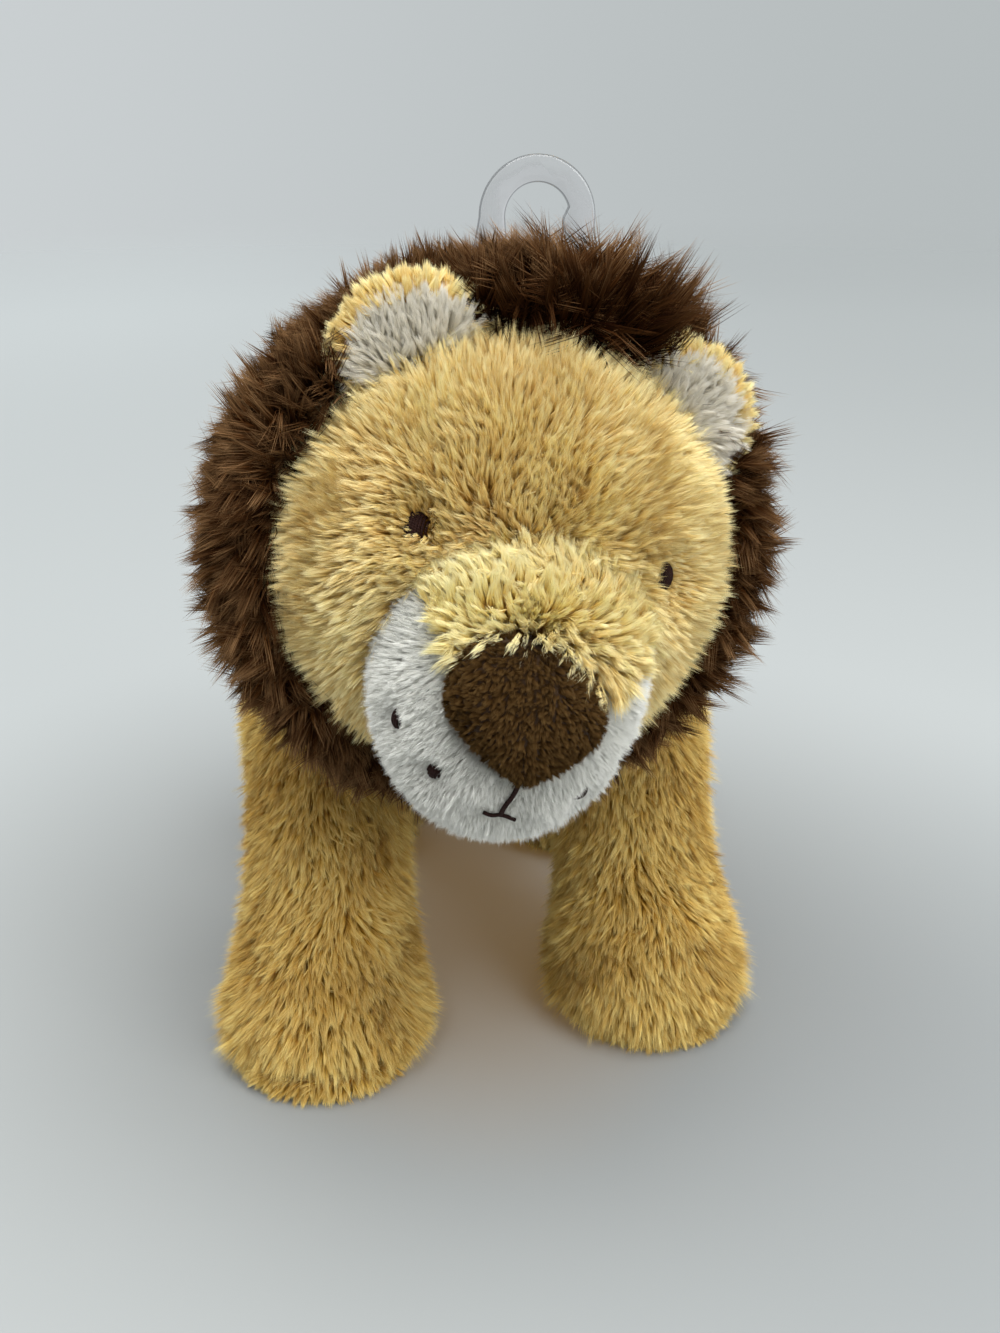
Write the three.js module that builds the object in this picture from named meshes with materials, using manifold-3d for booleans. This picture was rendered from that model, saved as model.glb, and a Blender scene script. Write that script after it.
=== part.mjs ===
// A stuffed plush lion that stands on four legs, with its head tilted on its neck.
// Millimetres. +Z is up, the lion faces -Y, and +X is on the right of someone who faces it.
// Every stuffed form is a cover of plush fabric, a shell that is open at its seams, round a filling.
import * as THREE from 'three';
import { mergeVertices } from 'three/addons/utils/BufferGeometryUtils.js';
import Module from 'manifold-3d';

const wasm = await Module();
wasm.setup();

const degree = Math.PI / 180;

// Fabric, seams and running gaps
const fabric = 2.5; // backing with the dense root of the pile
const seamGap = 0.3; // between pieces that are sewn or pressed together
const overrun = 20; // how far a cutting solid runs past what it cuts
const leastEdge = 0.005; // shorter edges that cutting leaves are closed up

// Head: a ball of filling with a face in front and the mane round the back
const headRadius = 58;
const headHeight = 175.5;
const headForward = 65;
const headNod = 2 * degree;
const headTilt = 15 * degree;
const headTurn = 5.5 * degree;
const faceSeamForward = 14; // plane of the seam between face and mane, ahead of the head's centre
const maneRadius = 77;
const maneForward = 6; // of the mane's centre ahead of the head's, so that it is thickest round the face
const maneBrimRadius = 81; // of its widest ring, where the long locks stand out round the face
const maneBrimDepth = 7; // of that ring behind the seam's plane
const maneBrimStart = 112 * degree; // from straight ahead, where the back of the ball starts to flare into the brim
const maneFrontRadius = 69; // of its foremost ring
const maneFrontDepth = 6; // of that ring ahead of the seam's plane

// Neck: the seam ring where the head is sewn to the body
const neckRadius = 28;
const neckSlope = 34 * degree; // below level, from the head's centre back into the body
const neckLength = 100; // from the head's centre
const headClearance = 2; // between the mane and everything but the neck

// Muzzle, nose and what is stitched on the face, in the head's own frame
const muzzleHalf = { width: 32, depth: 29.5, height: 39 };
const muzzleForward = 48;
const muzzleDrop = 19;
const muzzleLean = 20 * degree; // its top leans back into the face
const bridgeHalfWidth = 18; // half the width of the yellow bridge at its foot, under the nose
const bridgeDrop = 8; // of that foot below the head's centre
const bridgeSpread = 45 * degree; // how its edges open upwards
const noseHalf = { width: 20, height: 18, thickness: 8.5 };
const noseRise = -14 * degree; // seen from the muzzle's centre, in its own leaning frame
const noseSide = -2; // it is sewn on a little to one side
const noseNarrowShare = 0.62; // how much of its width the nose loses at its lower tip
const eyeRadius = 4.2;
const eyeThickness = 2.6;
const eyeSide = 31.5;
const eyeRise = 12.5;
const markRadius = 1.8;
const markThickness = 1.6;
const stitchRadius = 1.1;

// Ears: two panels sewn together, standing in the seam between face and mane
const earHalfWidth = 19;
const earHeight = 18.5;
const earHalfThickness = 6;
const earRim = 3.5; // of the outer panel, which rolls over the edge to the front
const earAngle = 38 * degree; // from straight up, round the head
const earFlex = 20 * degree; // each way about its seam

// Body
const bodyHalf = { width: 48, length: 77, height: 47 };
const bodyBack = 33;
const bodyHeight = 115;
const waistShare = 0.06; // how much the body draws in at its waist
const waistSpanShare = 0.4;
const bellyHalfWidth = 25;

// Legs: shoulder or hip ball, a narrower shin and a broad foot
const shoulderRadius = 25;
const shinRadius = 20.5;
const shinDrop = 42;
const footRadius = 29.3;
const footHeight = 17; // of the foot's widest ring above the floor
const soleRadius = 24.5;
const soleThickness = 3;
const shoulderSide = 49;
const frontShoulderBack = -14;
const frontShoulderHeight = 101;
const hindHipBack = 78;
const hindHipHeight = 98;
const legSwing = 15 * degree; // each way about the shoulder or hip
const frontLeftFoot = { side: -54, back: -57 };
const frontRightFoot = { side: 56, back: -43 };
const hindLeftFoot = { side: -50, back: 84 };
const hindRightFoot = { side: 50, back: 84 };

// Tail
const tailRootRadius = 7.7;
const tailRadius = 6.5;
const tailLength = 62;
const tailHang = 8 * degree; // backwards from straight down
const tailRootHeight = 122;
const tailSunk = 0.9; // of its root towards the body, which rounds off there
const tuftRadius = 14;
const tuftLength = 40;
const tuftWidestShare = 0.62; // of its length, down from its top

// Hang hook: a flat clear plate behind the head, held by one nylon pin
const hookThickness = 3;
const hookFootHalfWidth = 10.5;
const hookFootSide = 3; // of the foot's middle beyond the middle of the band that rises from it
const hookStemHeight = 50; // from the foot of the plate to the centre of its eye
const hookEyeRadius = 9.8;
const hookBand = 8;
const hookTipRadius = 5;
const hookSweep = 188 * degree; // how far the band goes round the eye
const hookTipLap = 25 * degree; // how far the round tip laps back along the eye
const hookSide = 4;
const hookEyeHeight = 256;
const hookPinHeight = 215;
const hookSwing = 20 * degree; // each way about its pin
const hookHole = 1.5;
const pinRadius = 1.1;
const pinEnd = 1; // how far the shank reaches into its own head
const pinHeadRadius = 4.5;
const pinHeadThickness = 1.4;
const pinLength = 32; // from the plate to the bar across its inner end
const pinBarLength = 10;

// Facets of each kind of form
const roundSides = 22;
const headRings = 12;
const bodySides = 18;
const bodyRings = 12;
const legSides = 14;
const legSteps = 5;
const maneSteps = 4;
const smallSides = 10;
const threadSegments = 3;

const plush = (name, colour) => new THREE.MeshStandardMaterial({
  name, color: colour, roughness: 0.95, metalness: 0,
});
const materials = {
  yellow: () => plush('yellow_plush', 0xe6c877),
  brown: () => plush('brown_plush', 0x4b2f1f),
  white: () => plush('white_plush', 0xeceae6),
  nose: () => plush('nose_fleece', 0x6a5038),
  filling: () => plush('fibre_filling', 0xf4f3ef),
  thread: () => new THREE.MeshStandardMaterial({
    name: 'dark_thread', color: 0x2d1a12, roughness: 0.6, metalness: 0,
  }),
  clear: () => new THREE.MeshStandardMaterial({
    name: 'clear_plastic', color: 0xdfe6e8, roughness: 0.1, metalness: 0,
  }),
};

// A closed three.js geometry as a solid that can be cut and joined.
function solidOf(geometry) {
  const bare = geometry.clone();
  bare.deleteAttribute('normal');
  bare.deleteAttribute('uv');
  const merged = mergeVertices(bare);
  const corners = merged.index.array;
  const kept = [];
  for (let i = 0; i < corners.length; i += 3) {
    const [a, b, c] = [corners[i], corners[i + 1], corners[i + 2]];
    if (a !== b && b !== c && c !== a) kept.push(a, b, c);
  }
  return new wasm.Manifold(new wasm.Mesh({
    numProp: 3,
    vertProperties: new Float32Array(merged.attributes.position.array),
    triVerts: new Uint32Array(kept),
  }));
}

function geometryOf(solid) {
  const mesh = solid.getMesh();
  const geometry = new THREE.BufferGeometry();
  geometry.setAttribute('position', new THREE.BufferAttribute(new Float32Array(mesh.vertProperties), 3));
  geometry.setIndex(new THREE.BufferAttribute(new Uint32Array(mesh.triVerts), 1));
  const faceted = geometry.toNonIndexed();
  faceted.computeVertexNormals();
  return faceted;
}

// A named piece. Its geometry is moved so that pivot, where it hinges, is its own origin.
function piece(name, solid, material, pivot = new THREE.Vector3()) {
  const geometry = geometryOf(solid.simplify(leastEdge));
  geometry.translate(-pivot.x, -pivot.y, -pivot.z);
  const mesh = new THREE.Mesh(geometry, material());
  mesh.name = name;
  mesh.position.copy(pivot);
  return mesh;
}

const boxSolid = (low, high) => {
  const size = high.clone().sub(low);
  const middle = low.clone().add(high).multiplyScalar(1 / 2);
  return solidOf(new THREE.BoxGeometry(size.x, size.y, size.z).translate(middle.x, middle.y, middle.z));
};

const ballSolid = (radius, centre, sides = roundSides, rings = headRings) =>
  solidOf(new THREE.SphereGeometry(radius, sides, rings).translate(centre.x, centre.y, centre.z));

// A ball of facets that all lie outside the given radius, to cut the room for something round that turns.
function roomBall(radius, centre, sides = roundSides, rings = headRings) {
  const inset = Math.cos(Math.PI / sides) * Math.cos(Math.PI / (2 * rings));
  return ballSolid(radius / inset, centre, sides, rings);
}

// A rod of the given radius from one distance to another along a line through start.
function rodSolid(radius, start, direction, from, to, sides = roundSides) {
  const rod = new THREE.CylinderGeometry(radius, radius, to - from, sides);
  rod.translate(0, (from + to) / 2, 0);
  rod.applyQuaternion(new THREE.Quaternion().setFromUnitVectors(new THREE.Vector3(0, 1, 0), direction));
  rod.translate(start.x, start.y, start.z);
  return solidOf(rod);
}

const headCentre = new THREE.Vector3(0, -headForward, headHeight);
const headSpin = new THREE.Quaternion().setFromEuler(new THREE.Euler(headNod, headTilt, headTurn, 'ZXY'));
const neckDirection = new THREE.Vector3(0, Math.cos(neckSlope), -Math.sin(neckSlope));
const neckInHead = neckDirection.clone().applyQuaternion(headSpin.clone().invert());
const maneCentre = new THREE.Vector3(0, -maneForward, 0).applyQuaternion(headSpin).add(headCentre);
const headRoom = Math.hypot(maneRadius, maneForward) + headClearance; // everything but the neck stays out of it
const ownOrigin = new THREE.Vector3();

// Head covers and filling, in the head's own frame: forward is -Y there too.
const innerHeadRadius = headRadius - fabric;
const muzzlePlace = new THREE.Matrix4().makeTranslation(0, -muzzleForward, -muzzleDrop)
  .multiply(new THREE.Matrix4().makeRotationX(-muzzleLean));

function muzzleForm(inset) {
  const form = new THREE.SphereGeometry(1, bodySides, bodyRings);
  form.scale(muzzleHalf.width - inset, muzzleHalf.depth - inset, muzzleHalf.height - inset);
  return solidOf(form.applyMatrix4(muzzlePlace));
}

function headFilling() {
  const ball = ballSolid(innerHeadRadius - seamGap, ownOrigin);
  return ball.add(muzzleForm(fabric + seamGap));
}

function faceCover() {
  const shell = ballSolid(headRadius, ownOrigin).subtract(roomBall(innerHeadRadius, ownOrigin));
  const far = headRadius + overrun;
  const front = boxSolid(new THREE.Vector3(-far, -far, -far), new THREE.Vector3(far, -faceSeamForward, far));
  return shell.intersect(front).subtract(muzzleForm(-seamGap));
}

// The mane is revolved round the face's own axis: back pole, round the outside, flaring to the brim, and over
// its front to the edge of the face.
function maneCover() {
  const seam = faceSeamForward - seamGap;
  const profile = [];
  for (let i = 0; i <= maneSteps; i += 1) {
    const angle = Math.PI + (maneBrimStart - Math.PI) * (i / maneSteps);
    profile.push(new THREE.Vector2(maneRadius * Math.sin(angle), -maneForward - maneRadius * Math.cos(angle)));
  }
  const brim = new THREE.SplineCurve([
    profile[maneSteps],
    new THREE.Vector2(maneBrimRadius, -seam + maneBrimDepth),
    new THREE.Vector2(maneFrontRadius, -seam - maneFrontDepth),
    new THREE.Vector2(headRadius + seamGap, -seam),
  ]);
  profile.push(...brim.getPoints(2 * maneSteps).slice(1));
  profile.push(new THREE.Vector2(0, -seam));
  profile[0].x = 0;
  const cap = solidOf(new THREE.LatheGeometry(profile.reverse(), roundSides));
  const opening = rodSolid(neckRadius + seamGap, ownOrigin, neckInHead, 0, maneRadius + overrun);
  return cap.subtract(roomBall(innerHeadRadius, ownOrigin)).subtract(opening);
}

// Muzzle panels: a yellow bridge above, and a white panel on each side that meet under the nose.
function bridgeWedge(widen) {
  const far = muzzleHalf.width + overrun;
  const halfWidth = bridgeHalfWidth + widen;
  const spread = Math.tan(bridgeSpread) * far;
  const outline = new THREE.Shape();
  outline.moveTo(-halfWidth, 0);
  outline.lineTo(halfWidth, 0);
  outline.lineTo(halfWidth + spread, far);
  outline.lineTo(-halfWidth - spread, far);
  outline.closePath();
  const depth = muzzleHalf.depth + overrun;
  const wedge = new THREE.ExtrudeGeometry(outline, { depth: 2 * depth, bevelEnabled: false });
  wedge.rotateX(Math.PI / 2).translate(0, depth - muzzleForward, -bridgeDrop - widen);
  return solidOf(wedge);
}

function muzzlePanels() {
  const shell = muzzleForm(0).subtract(muzzleForm(fabric)).subtract(ballSolid(headRadius + seamGap, ownOrigin));
  const far = muzzleForward + muzzleHalf.depth + overrun;
  const side = (sign) => boxSolid(
    new THREE.Vector3(sign > 0 ? seamGap / 2 : -far, -far, -far),
    new THREE.Vector3(sign > 0 ? far : -seamGap / 2, far, far),
  );
  const lower = shell.subtract(bridgeWedge(seamGap));
  return {
    bridge: shell.intersect(bridgeWedge(0)),
    left: lower.intersect(side(-1)),
    right: lower.intersect(side(1)),
  };
}

// The point of the muzzle's skin that is seen from its centre at an angle up and to one side, a height above it.
function onMuzzle(rise, side, height) {
  const direction = new THREE.Vector3(
    Math.sin(side) * Math.cos(rise), -Math.cos(side) * Math.cos(rise), Math.sin(rise),
  );
  const reach = 1 / Math.hypot(
    direction.x / (muzzleHalf.width + height),
    direction.y / (muzzleHalf.depth + height),
    direction.z / (muzzleHalf.height + height),
  );
  return direction.multiplyScalar(reach).applyMatrix4(muzzlePlace);
}

// The way out of the muzzle's skin there.
function muzzleOutward(rise, side) {
  return onMuzzle(rise, side, seamGap).sub(onMuzzle(rise, side, 0)).normalize();
}

// The nose is a pad that is broad above and comes to a blunt point below.
function noseForm() {
  const form = new THREE.SphereGeometry(1, roundSides, smallSides);
  form.rotateX(Math.PI / 2);
  const at = form.attributes.position;
  for (let i = 0; i < at.count; i += 1) {
    const up = at.getY(i);
    const lower = Math.max(0, -up);
    at.setX(i, at.getX(i) * (1 - noseNarrowShare * lower * lower));
  }
  form.scale(noseHalf.width, noseHalf.height, noseHalf.thickness);
  const seat = onMuzzle(noseRise, 0, 0);
  form.rotateX(Math.PI / 2 - muzzleLean - noseRise / 2);
  form.translate(noseSide, seat.y, seat.z);
  return solidOf(form).subtract(muzzleForm(-seamGap)).subtract(ballSolid(headRadius + seamGap, ownOrigin));
}

// A small flattened dome, seated on what is cut away from it.
function button(radius, thickness, centre, outward, seat) {
  const dome = new THREE.SphereGeometry(radius, smallSides, smallSides / 2);
  dome.scale(1, thickness / radius, 1);
  dome.applyQuaternion(new THREE.Quaternion().setFromUnitVectors(new THREE.Vector3(0, 1, 0), outward));
  dome.translate(centre.x, centre.y, centre.z);
  return solidOf(dome).subtract(seat);
}

function eye(sign) {
  const forward = Math.sqrt(headRadius ** 2 - eyeSide ** 2 - eyeRise ** 2);
  const centre = new THREE.Vector3(sign * eyeSide, -forward, eyeRise);
  const seat = ballSolid(headRadius + seamGap, ownOrigin).add(muzzleForm(-seamGap));
  return button(eyeRadius, eyeThickness, centre, centre.clone().normalize(), seat);
}

// Two whisker marks on each side, as angles from the muzzle's centre.
const whiskerMarks = {
  upper: { rise: -27 * degree, side: 70 * degree },
  lower: { rise: -47 * degree, side: 50 * degree },
};

function whiskerMark(level, sign) {
  const { rise, side } = whiskerMarks[level];
  const centre = onMuzzle(rise, sign * side, 0);
  return button(markRadius, markThickness, centre, muzzleOutward(rise, sign * side), muzzleForm(-seamGap));
}

// The mouth: a thread down from the nose that splits into two short ends.
const mouthRoute = [
  { rise: -46 * degree, side: 0 },
  { rise: -52 * degree, side: -1 * degree },
  { rise: -58 * degree, side: -3 * degree },
  { rise: -63 * degree, side: -3 * degree },
];
const mouthEnds = [
  { rise: -63 * degree, side: -26 * degree },
  { rise: -65 * degree, side: 14 * degree },
];

function threadSolid(route) {
  const lift = stitchRadius + seamGap;
  const points = route.map(({ rise, side }) => onMuzzle(rise, side, lift));
  const path = new THREE.CatmullRomCurve3(points);
  const section = new THREE.Shape().absarc(0, 0, stitchRadius, 0, 2 * Math.PI);
  return solidOf(new THREE.ExtrudeGeometry(section, {
    steps: 2 * route.length, extrudePath: path, curveSegments: threadSegments,
  }));
}

function mouth() {
  const split = mouthRoute[mouthRoute.length - 1];
  const ends = threadSolid([mouthEnds[0], split, mouthEnds[1]]);
  return threadSolid(mouthRoute).add(ends).subtract(muzzleForm(-seamGap / 2));
}

// Ears, in the head's frame. Each stands along a radius of the head, with its seam across that radius.
function earRoot(sign) {
  const reach = Math.sqrt((headRadius + seamGap) ** 2 - faceSeamForward ** 2);
  return new THREE.Vector3(sign * reach * Math.sin(earAngle), -faceSeamForward, reach * Math.cos(earAngle));
}

function earFrame(sign) {
  const radial = new THREE.Vector3(sign * Math.sin(earAngle), 0, Math.cos(earAngle));
  const along = new THREE.Vector3(sign * Math.cos(earAngle), 0, -Math.sin(earAngle)).multiplyScalar(sign);
  const back = new THREE.Vector3().crossVectors(radial, along);
  const turn = new THREE.Matrix4().makeBasis(along, back, radial);
  const root = earRoot(sign);
  return new THREE.Matrix4().makeTranslation(root.x, root.y, root.z).multiply(turn);
}

// What the inner panel takes of an ear: the front half, inside the rim.
function earInside(widen) {
  const outline = new THREE.Shape();
  outline.absellipse(0, 0, earHalfWidth - earRim + widen, earHeight - earRim + widen, 0, 2 * Math.PI);
  const slab = new THREE.ExtrudeGeometry(outline, {
    depth: 2 * earHalfThickness, bevelEnabled: false, curveSegments: smallSides,
  });
  return solidOf(slab.rotateX(Math.PI / 2).translate(0, widen / 2, 0));
}

// One panel of an ear: width along X, thickness along Y and height along Z before it is placed.
function earPanel(sign, inner) {
  const form = new THREE.SphereGeometry(1, roundSides, smallSides);
  form.scale(earHalfWidth, earHalfThickness, earHeight);
  const far = 2 * earHeight;
  const upper = boxSolid(new THREE.Vector3(-far, -far, 0), new THREE.Vector3(far, far, far));
  const ear = solidOf(form).intersect(upper);
  const panel = inner ? ear.intersect(earInside(0)) : ear.subtract(earInside(seamGap));
  return solidOf(geometryOf(panel).applyMatrix4(earFrame(sign))).subtract(ballSolid(headRadius + seamGap, ownOrigin));
}

// A wedge that opens along +Y from the hinge at the origin, as long as span along Z.
// It is the room that a slab takes, of half thickness half, as it turns by swing each way.
function swingRoom(half, swing, reach, span) {
  const foot = half * Math.cos(swing);
  const sunk = -half * Math.sin(swing);
  const open = foot + (reach - sunk) * Math.tan(swing);
  const outline = new THREE.Shape();
  outline.moveTo(-foot, sunk);
  outline.lineTo(foot, sunk);
  outline.lineTo(open, reach);
  outline.lineTo(-open, reach);
  outline.closePath();
  return new THREE.ExtrudeGeometry(outline, { depth: span, bevelEnabled: false }).translate(0, 0, -span / 2);
}

// The room that an ear takes as it flexes about its seam, which the head's covers leave open.
function earRoom(sign) {
  const half = earHalfThickness + seamGap;
  const wedge = swingRoom(half, earFlex, earHeight + maneBrimRadius - headRadius, 2 * (earHalfWidth + seamGap));
  wedge.rotateX(Math.PI / 2).rotateZ(Math.PI / 2);
  return solidOf(wedge.applyMatrix4(earFrame(sign)));
}

// Body, in the part's own frame
function bodyForm(inset) {
  const form = new THREE.SphereGeometry(1, bodySides, bodyRings);
  const at = form.attributes.position;
  for (let i = 0; i < at.count; i += 1) {
    const along = at.getY(i) / waistSpanShare;
    const girth = 1 - waistShare * Math.exp(-along * along);
    at.setX(i, at.getX(i) * girth);
    at.setZ(i, at.getZ(i) * girth);
  }
  form.scale(bodyHalf.width - inset, bodyHalf.length - inset, bodyHalf.height - inset);
  form.translate(0, bodyBack, bodyHeight);
  const trunk = solidOf(form).subtract(roomBall(headRoom + inset, headCentre));
  return trunk.add(rodSolid(neckRadius - inset, headCentre, neckDirection, 0, neckLength));
}

const footPlaces = {
  front_left: frontLeftFoot,
  front_right: frontRightFoot,
  hind_left: hindLeftFoot,
  hind_right: hindRightFoot,
};

// One leg before it is cut: a ball at the top, drawn in at the shin, and swelling to the foot.
function legForm(place, inset) {
  const ball = shoulderRadius - inset;
  const profile = [];
  for (let i = 0; i <= legSteps; i += 1) {
    const angle = (Math.PI / 2) * (i / legSteps);
    profile.push(new THREE.Vector2(ball * Math.sin(angle), ball * Math.cos(angle)));
  }
  profile[0].x = 0;
  const length = place.length;
  const flank = new THREE.SplineCurve([
    new THREE.Vector2(ball, 0),
    new THREE.Vector2(shinRadius - inset, -shinDrop),
    new THREE.Vector2(footRadius - inset, -(length - footHeight)),
    new THREE.Vector2(soleRadius - inset, -length),
  ]);
  profile.push(...flank.getPoints(legSteps).slice(1));
  profile.push(new THREE.Vector2(soleRadius - inset, -length - overrun));
  profile.push(new THREE.Vector2(0, -length - overrun));
  const form = new THREE.LatheGeometry(profile.reverse(), legSides);
  form.rotateX(Math.PI / 2);
  form.applyQuaternion(place.turn);
  form.translate(place.root.x, place.root.y, place.root.z);
  return form;
}

// Where a leg stands: its root ball, its length down to the floor and the way that it points.
function legPlace(name) {
  const sign = name.endsWith('left') ? -1 : 1;
  const front = name.startsWith('front');
  const root = new THREE.Vector3(
    sign * shoulderSide,
    front ? frontShoulderBack : hindHipBack,
    front ? frontShoulderHeight : hindHipHeight,
  );
  const foot = new THREE.Vector3(footPlaces[name].side, footPlaces[name].back, 0);
  const down = foot.sub(root);
  const length = down.length();
  down.normalize();
  const turn = new THREE.Quaternion().setFromUnitVectors(new THREE.Vector3(0, 0, -1), down);
  return { root, length, down, turn };
}

// Solid above a level, cut flat across.
function above(solid, level) {
  const far = headHeight + maneRadius;
  return solid.subtract(boxSolid(new THREE.Vector3(-far, -far, -far), new THREE.Vector3(far, far, level)));
}

function below(solid, level) {
  const far = headHeight + maneRadius;
  return solid.subtract(boxSolid(new THREE.Vector3(-far, -far, level), new THREE.Vector3(far, far, far)));
}

function legParts(name) {
  const place = legPlace(name);
  const outer = above(solidOf(legForm(place, 0)), 0);
  const inner = solidOf(legForm(place, fabric));
  const sewn = soleThickness + seamGap;
  return {
    place,
    cover: above(outer.subtract(inner), sewn),
    filling: above(solidOf(legForm(place, fabric + seamGap)), sewn),
    sole: below(outer, soleThickness),
  };
}

// The room that a leg takes as it swings about its root, which the body leaves open.
function legRoom(place) {
  const ball = roomBall(shoulderRadius + seamGap, place.root, bodySides, bodySides / 2);
  const span = 2 * (shoulderRadius + seamGap);
  const wedge = swingRoom(shoulderRadius + seamGap, legSwing, place.length, span);
  wedge.rotateY(Math.PI / 2).rotateX(-Math.PI / 2).rotateX(Math.asin(place.down.y));
  wedge.translate(place.root.x, place.root.y, place.root.z);
  return ball.add(solidOf(wedge));
}

// Tail: a tube with a ball at its root, and a teardrop tuft at its end
const tailBack = bodyBack + bodyHalf.length + tailRootRadius + seamGap - tailSunk;
const tailRoot = new THREE.Vector3(0, tailBack, tailRootHeight);

function hung(profile) {
  const form = new THREE.LatheGeometry(profile.reverse(), smallSides);
  form.rotateX(Math.PI / 2).rotateX(tailHang);
  form.translate(tailRoot.x, tailRoot.y, tailRoot.z);
  return solidOf(form);
}

function tailSolid() {
  const profile = [];
  for (let i = 0; i <= legSteps; i += 1) {
    const angle = (Math.PI / 2) * (i / legSteps);
    profile.push(new THREE.Vector2(tailRootRadius * Math.sin(angle), tailRootRadius * Math.cos(angle)));
  }
  profile[0].x = 0;
  profile.push(new THREE.Vector2(tailRadius, -tailLength / 2));
  profile.push(new THREE.Vector2(tailRadius, -tailLength));
  profile.push(new THREE.Vector2(0, -tailLength));
  return hung(profile);
}

function tuftSolid() {
  const top = -tailLength - seamGap;
  const widest = top - tuftLength * tuftWidestShare;
  const curve = new THREE.SplineCurve([
    new THREE.Vector2(tailRadius, top),
    new THREE.Vector2(tuftRadius, widest),
    new THREE.Vector2(tuftRadius / 2, top - tuftLength),
  ]);
  return hung([new THREE.Vector2(0, top), ...curve.getPoints(legSteps), new THREE.Vector2(0, top - tuftLength)]);
}

// Hang hook: its outline is drawn in its own plane, X across and Y up from the centre of its eye.
function hookOutline() {
  const outer = hookEyeRadius + hookBand;
  const tip = Math.PI - hookSweep;
  const middle = hookEyeRadius + hookBand / 2;
  const tipMiddle = outer - hookTipRadius;
  const outline = new THREE.Shape();
  outline.moveTo(-middle - hookFootSide - hookFootHalfWidth, -hookStemHeight);
  outline.lineTo(-outer, 0);
  outline.absarc(0, 0, outer, Math.PI, tip, true);
  const tipEnd = tip - Math.PI - hookTipLap;
  outline.absarc(tipMiddle * Math.cos(tip), tipMiddle * Math.sin(tip), hookTipRadius, tip, tipEnd, true);
  outline.absarc(0, 0, hookEyeRadius, tip + hookTipLap, Math.PI, false);
  outline.lineTo(-middle - hookFootSide + hookFootHalfWidth, -hookStemHeight);
  outline.closePath();
  return outline;
}

// The plate hangs straight down behind the mane, clear of it down to the lowest point that its foot swings to.
const hookFoot = (hookPinHeight - hookEyeHeight + hookStemHeight) * Math.cos(hookSwing)
  + hookFootHalfWidth * Math.sin(hookSwing);
const hookRise = hookPinHeight - hookFoot - maneCentre.z;
const hookBack = Math.sqrt(maneRadius ** 2 - hookRise ** 2) + maneCentre.y + seamGap;
const hookEyeSide = hookSide + hookFootSide + hookEyeRadius + hookBand / 2;
const hookPin = new THREE.Vector3(hookSide, hookBack, hookPinHeight);
const backward = new THREE.Vector3(0, 1, 0);

function hookPlate() {
  const plate = new THREE.ExtrudeGeometry(hookOutline(), {
    depth: hookThickness, bevelEnabled: false, curveSegments: smallSides,
  });
  plate.rotateX(Math.PI / 2).translate(hookEyeSide, hookBack + hookThickness, hookEyeHeight);
  return solidOf(plate).subtract(rodSolid(hookHole, hookPin, backward, -overrun, overrun, smallSides));
}

// The pin: a head behind the plate, and a shank through it into the filling, with a bar across its end.
const pinEndPoint = new THREE.Vector3(hookSide, hookBack - pinLength, hookPinHeight);

function pinSolid() {
  const from = hookThickness + seamGap;
  const shank = rodSolid(pinRadius, hookPin, backward, -pinLength, from + pinEnd, smallSides);
  const pinHead = rodSolid(pinHeadRadius, hookPin, backward, from, from + pinHeadThickness, smallSides);
  const across = new THREE.Vector3(1, 0, 0);
  const bar = rodSolid(pinRadius, pinEndPoint, across, -pinBarLength / 2, pinBarLength / 2, smallSides);
  return shank.add(pinHead).add(bar);
}

// The hole that the pin makes in the head, in the head's frame, with a pocket for its bar.
function pinRoom() {
  const shaft = rodSolid(pinRadius + seamGap, hookPin, backward, -pinLength - seamGap, overrun, smallSides);
  const pocket = rodSolid(
    pinBarLength / 2 + seamGap, pinEndPoint, backward, -pinRadius - seamGap, pinRadius + seamGap, smallSides,
  );
  const intoHead = new THREE.Matrix4().compose(headCentre, headSpin, new THREE.Vector3(1, 1, 1)).invert();
  return solidOf(geometryOf(shaft.add(pocket)).applyMatrix4(intoHead));
}

// Assembly
const lion = new THREE.Group();
const head = new THREE.Group();
head.position.copy(headCentre);
head.quaternion.copy(headSpin);
lion.add(head);

const mane = maneCover().subtract(earRoom(-1)).subtract(earRoom(1));
const panels = muzzlePanels();

head.add(piece('head_filling', headFilling().subtract(pinRoom()), materials.filling));
head.add(piece('face_cover', faceCover().subtract(earRoom(-1)).subtract(earRoom(1)), materials.yellow));
head.add(piece('mane', mane.subtract(pinRoom()), materials.brown));
head.add(piece('muzzle_bridge', panels.bridge, materials.yellow));
head.add(piece('muzzle_left', panels.left, materials.white));
head.add(piece('muzzle_right', panels.right, materials.white));
head.add(piece('nose', noseForm(), materials.nose));
head.add(piece('mouth_stitch', mouth(), materials.thread));
for (const [side, sign] of [['left', -1], ['right', 1]]) {
  head.add(piece(`eye_${side}`, eye(sign), materials.thread));
  head.add(piece(`whisker_mark_upper_${side}`, whiskerMark('upper', sign), materials.thread));
  head.add(piece(`whisker_mark_lower_${side}`, whiskerMark('lower', sign), materials.thread));
  head.add(piece(`ear_outer_${side}`, earPanel(sign, false), materials.yellow, earRoot(sign)));
  head.add(piece(`ear_inner_${side}`, earPanel(sign, true), materials.white, earRoot(sign)));
}

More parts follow.
